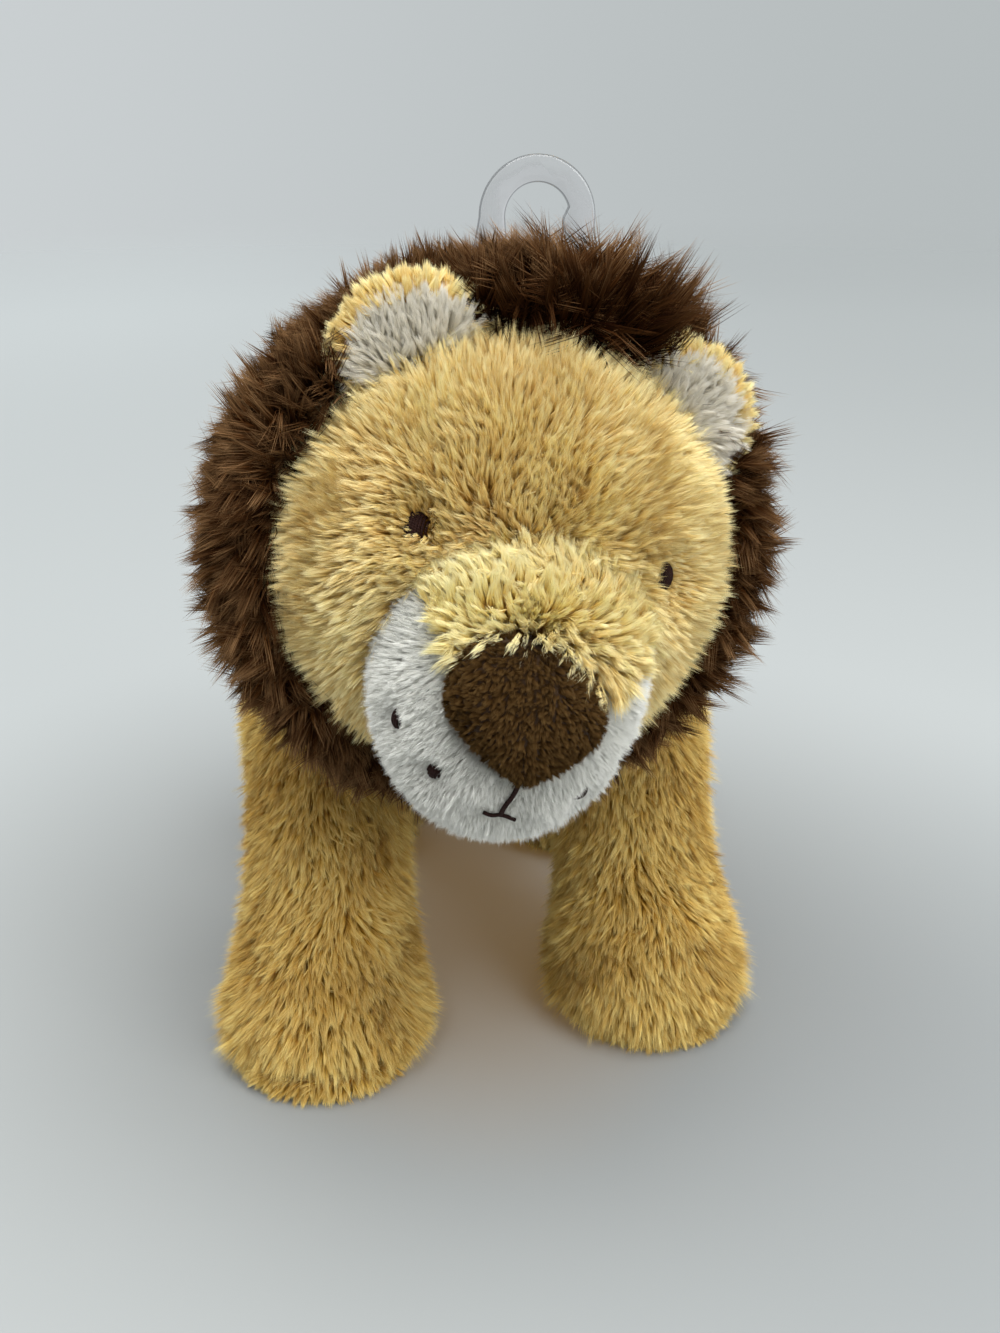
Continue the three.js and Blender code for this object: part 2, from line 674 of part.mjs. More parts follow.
const neckEnd = roomBall(innerHeadRadius, headCentre);
let bodyShell = bodyForm(0).subtract(bodyForm(fabric)).subtract(neckEnd);
let bodyFilling = bodyForm(fabric + seamGap).subtract(neckEnd);
for (const name of Object.keys(footPlaces)) {
  const parts = legParts(name);
  const { root } = parts.place;
  lion.add(piece(`${name}_leg_cover`, parts.cover, materials.yellow, root));
  lion.add(piece(`${name}_leg_filling`, parts.filling, materials.filling, root));
  lion.add(piece(`${name}_sole`, parts.sole, materials.yellow, root));
  const room = legRoom(parts.place);
  bodyShell = bodyShell.subtract(room);
  bodyFilling = bodyFilling.subtract(room);
}

function bellyZone(widen) {
  const far = headHeight + maneRadius;
  return boxSolid(
    new THREE.Vector3(-bellyHalfWidth - widen, -far, 0),
    new THREE.Vector3(bellyHalfWidth + widen, far, bodyHeight + widen),
  );
}

lion.add(piece('body_cover', bodyShell.subtract(bellyZone(seamGap)), materials.yellow));
lion.add(piece('belly_panel', bodyShell.intersect(bellyZone(0)), materials.white));
lion.add(piece('body_filling', bodyFilling, materials.filling));
lion.add(piece('tail', tailSolid(), materials.yellow, tailRoot));
lion.add(piece('tail_tuft', tuftSolid(), materials.brown, tailRoot));
lion.add(piece('hang_hook', hookPlate(), materials.clear, hookPin));
lion.add(piece('hook_pin', pinSolid(), materials.clear, hookPin));

// The origin is on the floor, under the middle of the whole lion.
const box = new THREE.Box3().setFromObject(lion, true);
lion.position.set(-(box.min.x + box.max.x) / 2, -(box.min.y + box.max.y) / 2, -box.min.z);
const part = new THREE.Group();
part.add(lion);

export default part;
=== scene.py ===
# %% [markdown]
# A plush lion, dressed for a portrait.
#
# The solids of the lion are already made. This lesson loads them as a fixed frame and puts cloth, pile,
# thread and clear plastic on them. The frame also knows which solids move together, so each new piece is
# told which of them it rides on.

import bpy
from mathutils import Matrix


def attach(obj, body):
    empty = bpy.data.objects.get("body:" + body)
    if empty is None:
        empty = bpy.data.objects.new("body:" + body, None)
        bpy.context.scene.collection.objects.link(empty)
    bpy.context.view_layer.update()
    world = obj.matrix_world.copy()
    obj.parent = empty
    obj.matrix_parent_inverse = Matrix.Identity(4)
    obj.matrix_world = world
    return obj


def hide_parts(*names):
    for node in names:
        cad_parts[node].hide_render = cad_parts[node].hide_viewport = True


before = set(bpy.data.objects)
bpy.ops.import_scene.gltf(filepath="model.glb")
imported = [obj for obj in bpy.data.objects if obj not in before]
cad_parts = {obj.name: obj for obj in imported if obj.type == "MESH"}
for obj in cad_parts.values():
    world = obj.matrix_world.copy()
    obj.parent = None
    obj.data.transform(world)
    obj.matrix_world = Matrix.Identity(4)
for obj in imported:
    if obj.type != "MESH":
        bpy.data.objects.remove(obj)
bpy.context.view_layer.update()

# %% [markdown]
# Lengths are written in millimetres, as a toy's pattern is, and turned into Blender's metres by one small
# helper. A modelling operator acts on all that is selected, so each step picks its own pieces first.

# %% Helpers for lengths, selection, modifiers and new objects
import math

import bmesh
import bpy
import numpy as np
from mathutils import Matrix, Vector
from mathutils.kdtree import KDTree

degree = math.pi / 180


def mm(*lengths):
    return [length / 1000 for length in lengths]


def pick(*pieces):
    """Selects these pieces and nothing else, and makes the first one active."""
    if bpy.context.object and bpy.context.object.mode != "OBJECT":
        bpy.ops.object.mode_set(mode="OBJECT")
    bpy.ops.object.select_all(action="DESELECT")
    for piece in pieces:
        piece.select_set(True)
    if pieces:
        bpy.context.view_layer.objects.active = pieces[0]


def modify(piece, kind, **settings):
    """Adds a modifier with these settings and applies it."""
    pick(piece)
    modifier = piece.modifiers.new(kind, kind)
    for key, value in settings.items():
        setattr(modifier, key, value)
    bpy.ops.object.modifier_apply(modifier=modifier.name)


def stand(name, data):
    """A new object of the scene, made of this mesh, curve, lamp or camera."""
    made = bpy.data.objects.new(name, data)
    bpy.context.scene.collection.objects.link(made)
    return made


def sewn(name, shape):
    """A new piece from an edited mesh, which is used up."""
    mesh = bpy.data.meshes.new(name)
    shape.to_mesh(mesh)
    shape.free()
    return stand(name, mesh)


pick()

# %% [markdown]
# The camera stands where the photographer did: a little above the lion, a little to its left, close enough
# for the head to look larger than the feet. It aims at one point between the chin and the front feet.

# %% Camera
aim = Vector(mm(2.1, -55.74, 135))
camera_side = -6 * degree
camera_rise = 22.5 * degree
camera_distance = 0.381
lens_share = 1.3  # of the frame's width

toward_camera = Vector((
    math.sin(camera_side) * math.cos(camera_rise),
    -math.cos(camera_side) * math.cos(camera_rise),
    math.sin(camera_rise),
))
camera_data = bpy.data.cameras.new("camera")
camera_data.sensor_fit = "HORIZONTAL"
camera_data.sensor_width = 36
camera_data.lens = camera_data.sensor_width * lens_share
camera_data.clip_start = 0.01
camera = stand("camera", camera_data)
camera.location = aim + camera_distance * toward_camera
camera.rotation_euler = (-toward_camera).to_track_quat("-Z", "Y").to_euler()
bpy.context.scene.camera = camera
print("camera", [round(x, 3) for x in camera.location])

# %% [markdown]
# A shader is a web of nodes. Written as Python sums it reads better, so one small class wraps a socket and
# gives it plus, minus and times. Colours go through Mix nodes, because a Math node would turn them grey.


# %% Shader writing
class Socket:
    def __init__(self, shader, out):
        self.shader = shader
        self.out = out

    def math(self, operation, first, second):
        return self.shader.node("Math", {"operation": operation}, {0: first, 1: second})

    def __add__(self, other):
        return self.math("ADD", self, other)

    def __sub__(self, other):
        return self.math("SUBTRACT", self, other)

    def __rsub__(self, other):
        return self.math("SUBTRACT", other, self)

    def __mul__(self, other):
        return self.math("MULTIPLY", self, other)

    __radd__ = __add__
    __rmul__ = __mul__

    def root(self):
        return self.math("SQRT", self, 0.0)

    def fade(self, start, end, first=0.0, last=1.0):
        """A soft step from one share to another, while this value goes from start to end."""
        limits = {"Value": self, "From Min": start, "From Max": end, "To Min": first, "To Max": last}
        return self.shader.node("MapRange", {"interpolation_type": "SMOOTHSTEP"}, limits)


class Shader:
    def __init__(self, name, world=None, **uniform):
        if world:
            self.tree = world.node_tree
            return
        self.material = bpy.data.materials.new(name)
        self.material.use_nodes = True
        self.tree = self.material.node_tree
        self.surface = self.tree.nodes["Principled BSDF"]
        for socket, value in uniform.items():
            self.surface.inputs[socket.replace("_", " ")].default_value = value

    def node(self, kind, settings=None, inputs=None, out=0):
        made = self.tree.nodes.new("ShaderNode" + kind)
        settings = dict(settings or {})
        stops = settings.pop("stops", None)
        for key, value in settings.items():
            setattr(made, key, value)
        if stops:
            ramp = made.color_ramp
            while len(ramp.elements) < len(stops):
                ramp.elements.new(1)
            for element, (place, colour) in zip(ramp.elements, stops):
                element.position = place
                element.color = colour
        for key, value in (inputs or {}).items():
            if isinstance(value, Socket):
                self.tree.links.new(value.out, made.inputs[key])
            else:
                made.inputs[key].default_value = value
        return Socket(self, made.outputs[out])

    def place(self):
        return self.node("TexCoord", out="Object")

    def noise(self, scale, detail=3):
        inputs = {"Vector": self.place(), "Scale": scale, "Detail": detail}
        return self.node("TexNoise", inputs=inputs, out="Fac")

    def parts(self, vector):
        """The x, y and z of a vector."""
        made = self.node("SeparateXYZ", inputs={0: vector}).out.node
        return [Socket(self, out) for out in made.outputs]

    def seen(self):
        """1 where the camera looks, straight or through clear plastic, and 0 where light is gathered."""
        paths = self.node("LightPath").out.node.outputs
        rays = ("Camera", "Transmission", "Glossy")
        straight, through, gloss = [Socket(self, paths[f"Is {kind} Ray"]) for kind in rays]
        return self.node("Math", {"operation": "ADD", "use_clamp": True}, {0: straight, 1: through + gloss})

    def mix(self, share, first, second, blend="MIX"):
        inputs = {0: share, 6: first, 7: second}
        return self.node("Mix", {"data_type": "RGBA", "blend_type": blend}, inputs, out=2)

    def ramp(self, value, *stops):
        return self.node("ValToRGB", {"stops": stops}, {0: value})

    def bump(self, height, strength, distance):
        return self.node("Bump", inputs={"Height": height, "Strength": strength, "Distance": distance})

    def set(self, **links):
        for socket, value in links.items():
            self.tree.links.new(value.out, self.surface.inputs[socket.replace("_", " ")])
        return self.material


def srgb(red, green, blue):
    """A colour as it is read off a picture, from 0 to 255, as Blender's linear light."""
    def linear(value):
        share = value / 255
        return share / 12.92 if share <= 0.04045 else ((share + 0.055) / 1.055) ** 2.4
    return (*[linear(value) for value in (red, green, blue)], 1)


# %% [markdown]
# Pile is yarn that is dyed in one piece. Its colour is painted darker at the root, as painted shade where
# light hardly reaches, and paler at the tip, as a painted highlight. Each hair carries its own map: along it,
# from root to tip, and across, a shade that neighbouring hairs of a lock share. The finish reads that map, so
# that colour follows the hair however it bends. A finish here is a pair: the slot of the record that it
# stands for, and its material.


# %% Pile finishes
def pile_finish(name, slot, dark, light, sheen=0.08, gloss=0.12):
    """dark and light are root, middle and tip colours of the darkest and of the palest locks."""
    shader = Shader(name, Roughness=0.8, Sheen_Weight=sheen, Sheen_Roughness=0.5, Specular_IOR_Level=gloss)
    shade, along, _ = shader.parts(shader.node("UVMap", {"uv_map": "OFBake"}))
    # Each ramp runs from painted shade at the root to a painted highlight at the tip.
    low, high = [
        shader.ramp(along, *zip((0.0, 0.5, 1.0), [srgb(*tone) for tone in tones])) for tones in (dark, light)
    ]
    return slot, shader.set(Base_Color=shader.mix(shade, low, high))


yellow_pile = pile_finish(
    "yellow_pile", "yellow_plush",
    [(140, 84, 10), (196, 150, 62), (238, 206, 126)], [(192, 134, 38), (250, 224, 138), (255, 252, 208)],
)
# A darker, more saturated copy of the yellow pile, for the legs, soles, body and tail: painted shade, as they
# get less light than the face.
shaded_yellow_pile = pile_finish(
    "shaded_yellow_pile", "yellow_plush",
    [(134, 78, 6), (184, 134, 40), (228, 190, 98)], [(184, 126, 24), (246, 212, 110), (255, 247, 178)],
)
pale_pile = pile_finish(
    "pale_pile", "yellow_plush",
    [(190, 116, 20), (226, 180, 82), (248, 220, 138)], [(228, 168, 62), (254, 234, 154), (255, 253, 212)],
)
brown_pile = pile_finish(
    "brown_pile", "brown_plush",
    [(8, 2, 0), (31, 12, 2), (70, 42, 18)], [(33, 13, 2), (86, 52, 22), (178, 140, 98)],
    sheen=0.0, gloss=0.03,
)
white_pile = pile_finish(
    "white_pile", "white_plush",
    [(214, 212, 203), (224, 224, 217), (232, 233, 227)], [(222, 221, 213), (234, 235, 229), (245, 246, 241)],
)
cream_pile = pile_finish(
    "cream_pile", "white_plush",
    [(204, 192, 164), (224, 217, 198), (238, 234, 222)], [(222, 214, 192), (242, 238, 224), (254, 252, 245)],
)
nose_pile = pile_finish(
    "nose_pile", "nose_fleece",
    [(28, 13, 2), (52, 33, 10), (80, 57, 27)], [(40, 24, 6), (76, 54, 24), (116, 90, 54)],
    sheen=0.0, gloss=0.05,
)

# %% [markdown]
# Under the pile lies the knitted backing, in the darker colour of the pile's roots, which is painted shade of
# the gaps between locks. It shows only between locks, so a fine grain and that darker tone are enough.


# %% Cloth finishes
def cloth_finish(name, slot, dark, light, grain=900):
    shader = Shader(name, Roughness=0.95, Sheen_Weight=0.2, Specular_IOR_Level=0.2)
    fibre = shader.noise(grain, 4)
    colour = shader.mix(shader.noise(60) * 0.5 + fibre * 0.5, srgb(*dark), srgb(*light))
    return slot, shader.set(Base_Color=colour, Normal=shader.bump(fibre, 0.6, 0.0006))


# Backing colours are darker than the pile's: painted shade between locks.
yellow_cloth = cloth_finish("yellow_cloth", "yellow_plush", (164, 112, 34), (190, 142, 58))
brown_cloth = cloth_finish("brown_cloth", "brown_plush", (16, 8, 4), (34, 19, 10))
white_cloth = cloth_finish("white_cloth", "white_plush", (196, 194, 186), (220, 219, 212))
nose_cloth = cloth_finish("nose_cloth", "nose_fleece", (36, 23, 11), (62, 43, 23), 1400)
wadding = cloth_finish("wadding", "fibre_filling", (214, 212, 204), (244, 243, 238), 300)

# %% [markdown]
# Thread has a fine twist and a low gloss. The hook is clear moulded plastic, a glass shader with a plastic's
# index. Its edge faces get a second glass of dark grey, painted shade that stands for the light which the
# rounded edges of clear plastic bend away.

# %% Thread and plastic finishes
thread = Shader("thread", Roughness=0.7, Specular_IOR_Level=0.15)
twist_inputs = {"Vector": thread.place(), "Scale": 700.0, "Distortion": 1.0}
twist = thread.node("TexWave", {"bands_direction": "DIAGONAL"}, twist_inputs, "Fac")
thread_finish = "dark_thread", thread.set(
    Base_Color=thread.mix(thread.noise(500), srgb(24, 9, 7), srgb(46, 22, 17)),
    Normal=thread.bump(twist, 0.5, 0.0003),
)

plastic = Shader("clear_plastic", Roughness=0.03, Transmission_Weight=1.0, IOR=1.49)
plastic_finish = "clear_plastic", plastic.set(
    Base_Color=plastic.mix(plastic.noise(40), (0.92, 0.91, 0.92, 1), (0.98, 0.96, 0.97, 1)),
    Normal=plastic.bump(plastic.noise(120), 0.05, 0.0005),
)
# Dark grey glass for the edges: painted shade.
edge = Shader("clear_plastic_painted_edge_shade", Roughness=0.05, Transmission_Weight=1.0, IOR=1.49)
edge.set(Base_Color=edge.mix(edge.noise(60), (0.2, 0.2, 0.21, 1), (0.32, 0.32, 0.33, 1)))

# %% [markdown]
# The floor is a pale board. Its base colour is a little darker in front on the right, as painted shade. It is
# made paler for the camera alone, so that no more light falls on the lion, a little less so to the right, as
# painted shade of the room's light. Under the lion the camera sees a warm glow, a painted bounce light for
# the light that the yellow pile throws down, and far off the floor dissolves into the room.

# %% Floor finish
floor = Shader("floor", Roughness=0.6, Specular_IOR_Level=0.15, Emission_Strength=1)
across_floor, along_floor, _ = floor.parts(floor.place())
distance = (across_floor * across_floor + along_floor * along_floor).root()
under = along_floor * 7.0 - 0.1
# Painted bounce light: a warm glow on the floor under the lion, for the camera alone.
painted_bounce_glow = (across_floor * across_floor * 130.0 + under * under).fade(0.0, 1.0, 1.0, 0.0)
pale = distance.fade(0.1, 0.34) * 0.55 + distance.fade(0.2, 2.0) * 0.42
# The camera's paleness weakens to the right: painted shade of the room's light.
pale = pale * across_floor.fade(-0.6, 0.8, 1.0, 0.66) * (1 - painted_bounce_glow)
# Painted shade: the base colour darkens in front on the right.
painted_shade_front_right = across_floor.fade(-0.1, 0.2) * along_floor.fade(-0.1, 0.2, 1.0, 0.0)
seen = floor.seen()
paleness = floor.mix(seen * pale, (0, 0, 0, 1), srgb(164, 171, 173))
floor_finish = floor.set(
    Base_Color=floor.mix(painted_shade_front_right, srgb(156, 160, 160), srgb(135, 139, 140)),
    Emission_Color=floor.mix(seen * painted_bounce_glow, paleness, srgb(92, 66, 20), "ADD"),
    Alpha=distance.fade(1.6, 4.5, 1.0, 0.0),
)

# %% [markdown]
# The head has its own frame: it nods a little, leans to one side and turns to the other. All of its pieces
# are modelled in that frame at first, looking along -Y, and then set in place by one matrix. The muzzle
# leans once more.

# %% Frame of the head
middle = -0.9  # the lion's middle plane
head_place = (
    Matrix.Translation(mm(middle, -60.74, 175.5))
    @ Matrix.Rotation(5.5 * degree, 4, "Z")
    @ Matrix.Rotation(2 * degree, 4, "X")
    @ Matrix.Rotation(15 * degree, 4, "Y")
)
head_radius = 57.6
seam_forward = 14
mane_radius = 69
mane_forward = 6
brim_radius = 70
muzzle_half = (32, 29.5, 39)
muzzle_lean = 20 * degree
muzzle_place = head_place @ Matrix.Translation(mm(0, -48, -19)) @ Matrix.Rotation(-muzzle_lean, 4, "X")
neck_direction = Vector((0, math.cos(34 * degree), -math.sin(34 * degree)))


def ball(name, half, place, segments=48, rings=32):
    """A closed ball or egg with these half sizes, set in place."""
    pick()
    bpy.ops.mesh.primitive_uv_sphere_add(segments=segments, ring_count=rings, radius=1)
    piece = bpy.context.object
    piece.name = name
    piece.scale = mm(*half)
    bpy.ops.object.transform_apply(location=True, rotation=True, scale=True)
    piece.data.transform(place)
    return piece


def rod(name, radius, start, direction, length, sides=40):
    """A closed cylinder from a start point along a direction."""
    pick()
    bpy.ops.mesh.primitive_cylinder_add(vertices=sides, radius=radius / 1000, depth=length / 1000)
    piece = bpy.context.object
    piece.name = name
    turn = Vector(direction).to_track_quat("Z", "Y").to_matrix().to_4x4()
    half_way = Matrix.Translation(Vector((0, 0, length / 2000)))
    piece.data.transform(Matrix.Translation(Vector(start)) @ turn @ half_way)
    return piece


def block():
    """A cube whose corners are then moved."""
    pick()
    bpy.ops.mesh.primitive_cube_add(size=1)
    return bpy.context.object


def bisect(piece, point, normal, place=Matrix.Identity(4)):
    """Cuts away what lies beyond a plane and closes the cut. Point and normal are in the given frame."""
    pick(piece)
    bpy.ops.object.mode_set(mode="EDIT")
    bpy.ops.mesh.select_all(action="SELECT")
    bpy.ops.mesh.bisect(
        plane_co=place @ Vector(mm(*point)), plane_no=place.to_3x3() @ Vector(normal),
        use_fill=True, clear_outer=True,
    )
    bpy.ops.object.mode_set(mode="OBJECT")


def cut(piece, tools, operation="DIFFERENCE", keep_tools=False):
    """Cuts a piece with other closed pieces, which are used up."""
    for tool in tools:
        modify(piece, "BOOLEAN", operation=operation, solver="EXACT", object=tool)
        if not keep_tools:
            bpy.data.objects.remove(tool)


def smooth(piece, angle=40):
    pick(piece)
    bpy.ops.object.shade_smooth_by_angle(angle=angle * degree)


def dress(piece, finish, body, replaced=()):
    """Gives a piece its finish and its body, and hides the solids that it stands for."""
    slot, material = finish
    piece.data.materials.clear()
    piece.data.materials.append(material)
    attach(piece, body)
    if replaced:
        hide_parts(*replaced)


# %% [markdown]
# Pile could be Blender's particle hair, but hair isn't a mesh and would be lost when the toy leaves
# Blender. So each hair here is a slim pointed blade whose flat side faces away from the skin. Hairs are
# sown over a skin at random and then drawn together in locks, which is what makes plush look like plush.


# %% Measuring a skin
def unit(vectors):
    length = np.linalg.norm(vectors, axis=1, keepdims=True)
    return vectors / np.maximum(length, 1e-9)


def across(vectors, normals):
    """The part of each vector that lies along the skin, at length one."""
    return unit(vectors - normals * np.sum(vectors * normals, axis=1, keepdims=True))


def read_skin(skin):
    """Corner places, corner normals and areas in square millimetres of the skin's triangles. Booleans leave
    triangles in a different order each time, so they and their corners are sorted by their places."""
    mesh = skin.data
    mesh.calc_loop_triangles()
    corners = np.empty(len(mesh.loop_triangles) * 3, np.int32)
    mesh.loop_triangles.foreach_get("vertices", corners)
    points = np.empty(len(mesh.vertices) * 3)
    mesh.vertices.foreach_get("co", points)
    normals = np.empty(len(mesh.vertices) * 3)
    mesh.vertices.foreach_get("normal", normals)
    places, turned = [values.reshape(-1, 3)[corners.reshape(-1, 3)] for values in (points, normals)]
    inner = np.argsort(np.round(places @ (1.0, 1.7, 2.9), 7), axis=1, kind="stable")[:, :, None]
    places, turned = np.take_along_axis(places, inner, 1), np.take_along_axis(turned, inner, 1)
    order = np.lexsort(np.round(places.mean(axis=1), 6).T)
    places, turned = places[order], turned[order]
    area = np.linalg.norm(np.cross(places[:, 1] - places[:, 0], places[:, 2] - places[:, 0]), axis=1) / 2
    return places, turned, area * 1e6


def sow(skin, count, generator, keep=None):
    """Random roots on a skin with their outward normals, even over its area, and the area that they cover."""
    places, turned, area = read_skin(skin)
    if keep is not None:
        area = area * keep(places.mean(axis=1), unit(turned.mean(axis=1)))
    chosen = generator.choice(len(area), size=count, p=area / area.sum())
    u, v = generator.random((2, count))
    over = u + v > 1
    u[over], v[over] = 1 - u[over], 1 - v[over]
    shares = np.stack([1 - u - v, u, v], axis=1)
    roots = np.einsum("ni,nij->nj", shares, places[chosen])
    normals = unit(np.einsum("ni,nij->nj", shares, turned[chosen]))
    if keep is not None:
        kept = keep(roots, normals) > 0.5
        roots, normals = roots[kept], normals[kept]
    return roots, normals, float(area.sum())


def waves(points, width, seed):
    """Smooth unevenness from -1 to 1, as three crossing waves of a given width in millimetres."""
    generator = np.random.default_rng(seed)
    total = np.zeros(len(points))
    for _ in range(3):
        way = unit(generator.normal(size=(1, 3)))[0]
        total += np.sin((points @ way * 1000 / width + generator.random()) * 2 * math.pi)
    return total / 3


# %% [markdown]
# In a lock, every hair's path is drawn towards the path of the lock's first hair, the tip more than the
# middle. Short pile is straight, one triangle a hair. Long hair has a bend: a steep start and a leaning
# end.

# %% Growing pile
root_depth = 0.0005
least_height = 0.0004  # above the floor
unevenness = 8  # degrees


def spread(value, roots, normals):
    return value(roots, normals) if callable(value) else np.full(len(roots), float(value))


def grow(name, skin, finish, body, hairs, length, width, flow, lean, lock, seed, keep=None, gather=0.35,
         wild=0.25, bend=0.5, shade=None, tone=0.5, bends=0, swirl=20, swirl_width=26):
    """Pile on a skin. Length, width and the size of a lock are in millimetres, lean in degrees from upright.
    Flow gives the way that the hair lies, gather how far a lock closes and wild how far locks differ. Swirl
    is how many degrees the way of the locks turns to and fro over the skin, at swirls of a given width."""
    generator = np.random.default_rng(seed)
    roots, normals, area = sow(skin, hairs, generator, keep)
    count = len(roots)
    heads = generator.choice(count, size=max(4, min(count, int(area / lock ** 2))), replace=False)
    tree = KDTree(len(heads))
    for index, head in enumerate(heads):
        tree.insert(roots[head], index)
    tree.balance()
    member = np.array([tree.find(root)[1] for root in roots])

    # What a lock's hairs share: its way, its lean, its length and its shade.
    ways = across(flow(roots[heads], normals[heads]), normals[heads])
    turn = swirl * degree * 2 * waves(roots[heads], swirl_width, seed + 500)[:, None]
    ways = ways * np.cos(turn) + np.cross(normals[heads], ways) * np.sin(turn)
    ways = unit(ways + wild * generator.normal(size=(len(heads), 3)))
    leans = spread(lean, roots[heads], normals[heads]) + unevenness * generator.normal(size=len(heads))
    lengths = spread(length, roots[heads], normals[heads]) / 1000
    lengths = lengths * (1 + 0.15 * generator.normal(size=len(heads)).clip(-2, 2))
    tones = generator.random(len(heads)) - 0.5
    last = bends + 1

    def path(base, normal, way, angle, reach):
        """Points up a hair, from its root to its tip."""
        points = [base]
        for step in range(last):
            turn = np.clip(angle * (1 + bend * (2 * (step + 0.5) / last - 1)), 0, 100) * degree
            ahead = normal * np.cos(turn)[:, None] + way * np.sin(turn)[:, None]
            points.append(points[-1] + ahead * (reach / last)[:, None])
        return points

    own = path(
        roots, normals, across(ways[member], normals),
        leans[member] + unevenness * generator.normal(size=count),
        lengths[member] * (1 + 0.12 * generator.normal(size=count).clip(-2, 2)),
    )
    first = [point[member] for point in path(
        roots[heads], normals[heads], across(ways, normals[heads]), leans, lengths,
    )]
    pull = np.clip(gather * (1 + 0.3 * generator.normal(size=count)), 0, 0.95)
    for step in range(1, last + 1):
        share = pull * (step / last) ** 1.3
        own[step] = own[step] + (first[step] - own[step]) * share[:, None]
    own[0] = own[0] - normals * root_depth
    for point in own[1:]:
        point[:, 2] = np.maximum(point[:, 2], least_height)

    # Blades: two corners on each level of the path and one at the tip.
    half = width / 2000 * (1 + 0.25 * generator.normal(size=count).clip(-2, 2))
    twist = 0.5 * generator.normal(size=count)[:, None]
    columns = []
    levels = []
    for step in range(last):
        ahead = unit(own[step + 1] - own[step])
        side = unit(np.cross(ahead, normals) + 1e-6)
        side = unit(side + np.cross(ahead, side) * twist)
        reach = side * (half * (1 - 0.5 * step / last))[:, None]
        columns += [own[step] - reach, own[step] + reach]
        levels += [step / last] * 2
    columns.append(own[last])
    levels.append(1)
    faces = [(2 * step + 1, 2 * step, 2 * step + 2, 2 * step + 3) for step in range(last - 1)]
    faces.append((2 * last - 1, 2 * last - 2, 2 * last))
    corners = np.array([corner for face in faces for corner in face])
    starts = np.cumsum([0] + [len(face) for face in faces[:-1]])
    number = np.arange(count)[:, None]
    mesh = bpy.data.meshes.new(name)
    mesh.vertices.add(count * len(columns))
    mesh.vertices.foreach_set("co", np.stack(columns, axis=1).reshape(-1))
    mesh.loops.add(count * len(corners))
    mesh.loops.foreach_set("vertex_index", (number * len(columns) + corners).reshape(-1).astype(np.int32))
    mesh.polygons.add(count * len(faces))
    mesh.polygons.foreach_set("loop_start", (number * len(corners) + starts).reshape(-1).astype(np.int32))
    mesh.update(calc_edges=True)
    mesh.polygons.foreach_set("use_smooth", np.ones(count * len(faces), bool))

    tint = tone + 0.55 * tones[member] + 0.14 * generator.normal(size=count)
    if shade is not None:
        tint = tint + shade(roots, normals)
    shades = np.repeat(np.clip(tint, 0.02, 0.98), len(corners))
    heights = np.tile(0.02 + 0.96 * np.array(levels)[corners], count)
    layer = mesh.uv_layers.new(name="OFBake")
    layer.data.foreach_set("uv", np.stack([shades, heights], axis=1).reshape(-1))
    dress(stand(name, mesh), finish, body)
    print(name, count, "hairs in", len(heads), "locks on", round(area), "square mm")


# %% [markdown]
# Where pile grows is said by masks: small functions that say yes or no for each point. They are written in
# the frame of the head or of the whole lion, whichever is simpler.


# %% Masks and flows
def seen_from(place):
    """Turns world points into millimetres of a frame."""
    inverse = np.array(place.inverted())
    return lambda points: (points @ inverse[:3, :3].T + inverse[:3, 3]) * 1000


in_head = seen_from(head_place)
in_muzzle = seen_from(muzzle_place)
head_turn = np.array(head_place.to_3x3())


def head_way(x, y, z):
    """A direction of the head's frame as one of the world."""
    return head_turn @ np.array((x, y, z), float)


def egg(points, half):
    """How far out points lie in an egg: 1 is on its skin."""
    return np.sqrt(np.sum((points / np.array(half, float)) ** 2, axis=1))


def past_muzzle(points, margin):
    """Yes where a point lies more than a margin outside the muzzle."""
    return egg(in_muzzle(points), [half + margin for half in muzzle_half]) > 1


muzzle_solid = ball("muzzle_solid", muzzle_half, muzzle_place, 64, 48)

# %% [markdown]
# The face is a dome of golden plush. A ball is cut flat at the seam with the mane, and the muzzle is cut
# out of it with a boolean, so that the muzzle's own panels can sit there.

# %% Face
face = ball("face_plush", [head_radius] * 3, head_place @ Matrix.Rotation(math.pi / 2, 4, "X"), 64, 48)
bisect(face, (0, -seam_forward, 0), (0, 1, 0), head_place)
cut(face, [muzzle_solid], keep_tools=True)
smooth(face)
dress(face, yellow_cloth, "head", ["face_cover"])

eye_side, eye_rise = 31.5, 12.5
eye_forward = math.sqrt(58 ** 2 - eye_side ** 2 - eye_rise ** 2)
eye_clip_reach = 9
eye_spots = [  # the middle of each clipped spot, its bare radius and its least share of the pile's length
    (np.array((-eye_side + 1.2, -eye_forward, eye_rise + 1.0)), 1.6, 0.65),
    (np.array((eye_side - 0.8, -eye_forward, eye_rise + 0.2)), 2.7, 0.22),
]


def on_face(points, normals):
    at = in_head(points)
    kept = (at[:, 1] < -seam_forward - 0.2) & (np.linalg.norm(at, axis=1) > head_radius - 1.0)
    for spot, radius, _ in eye_spots:
        kept &= np.linalg.norm(at - spot, axis=1) > radius
    return kept & past_muzzle(points, 0.5)


def face_length(longest):
    """Pile is clipped round the eyes, so that they look out of it, the right one more than the left."""
    def length(points, normals):
        at = in_head(points)
        shares = [
            np.clip(np.linalg.norm(at - spot, axis=1) / eye_clip_reach, least, 1)
            for spot, _, least in eye_spots
        ]
        return longest * np.min(shares, axis=0)
    return length


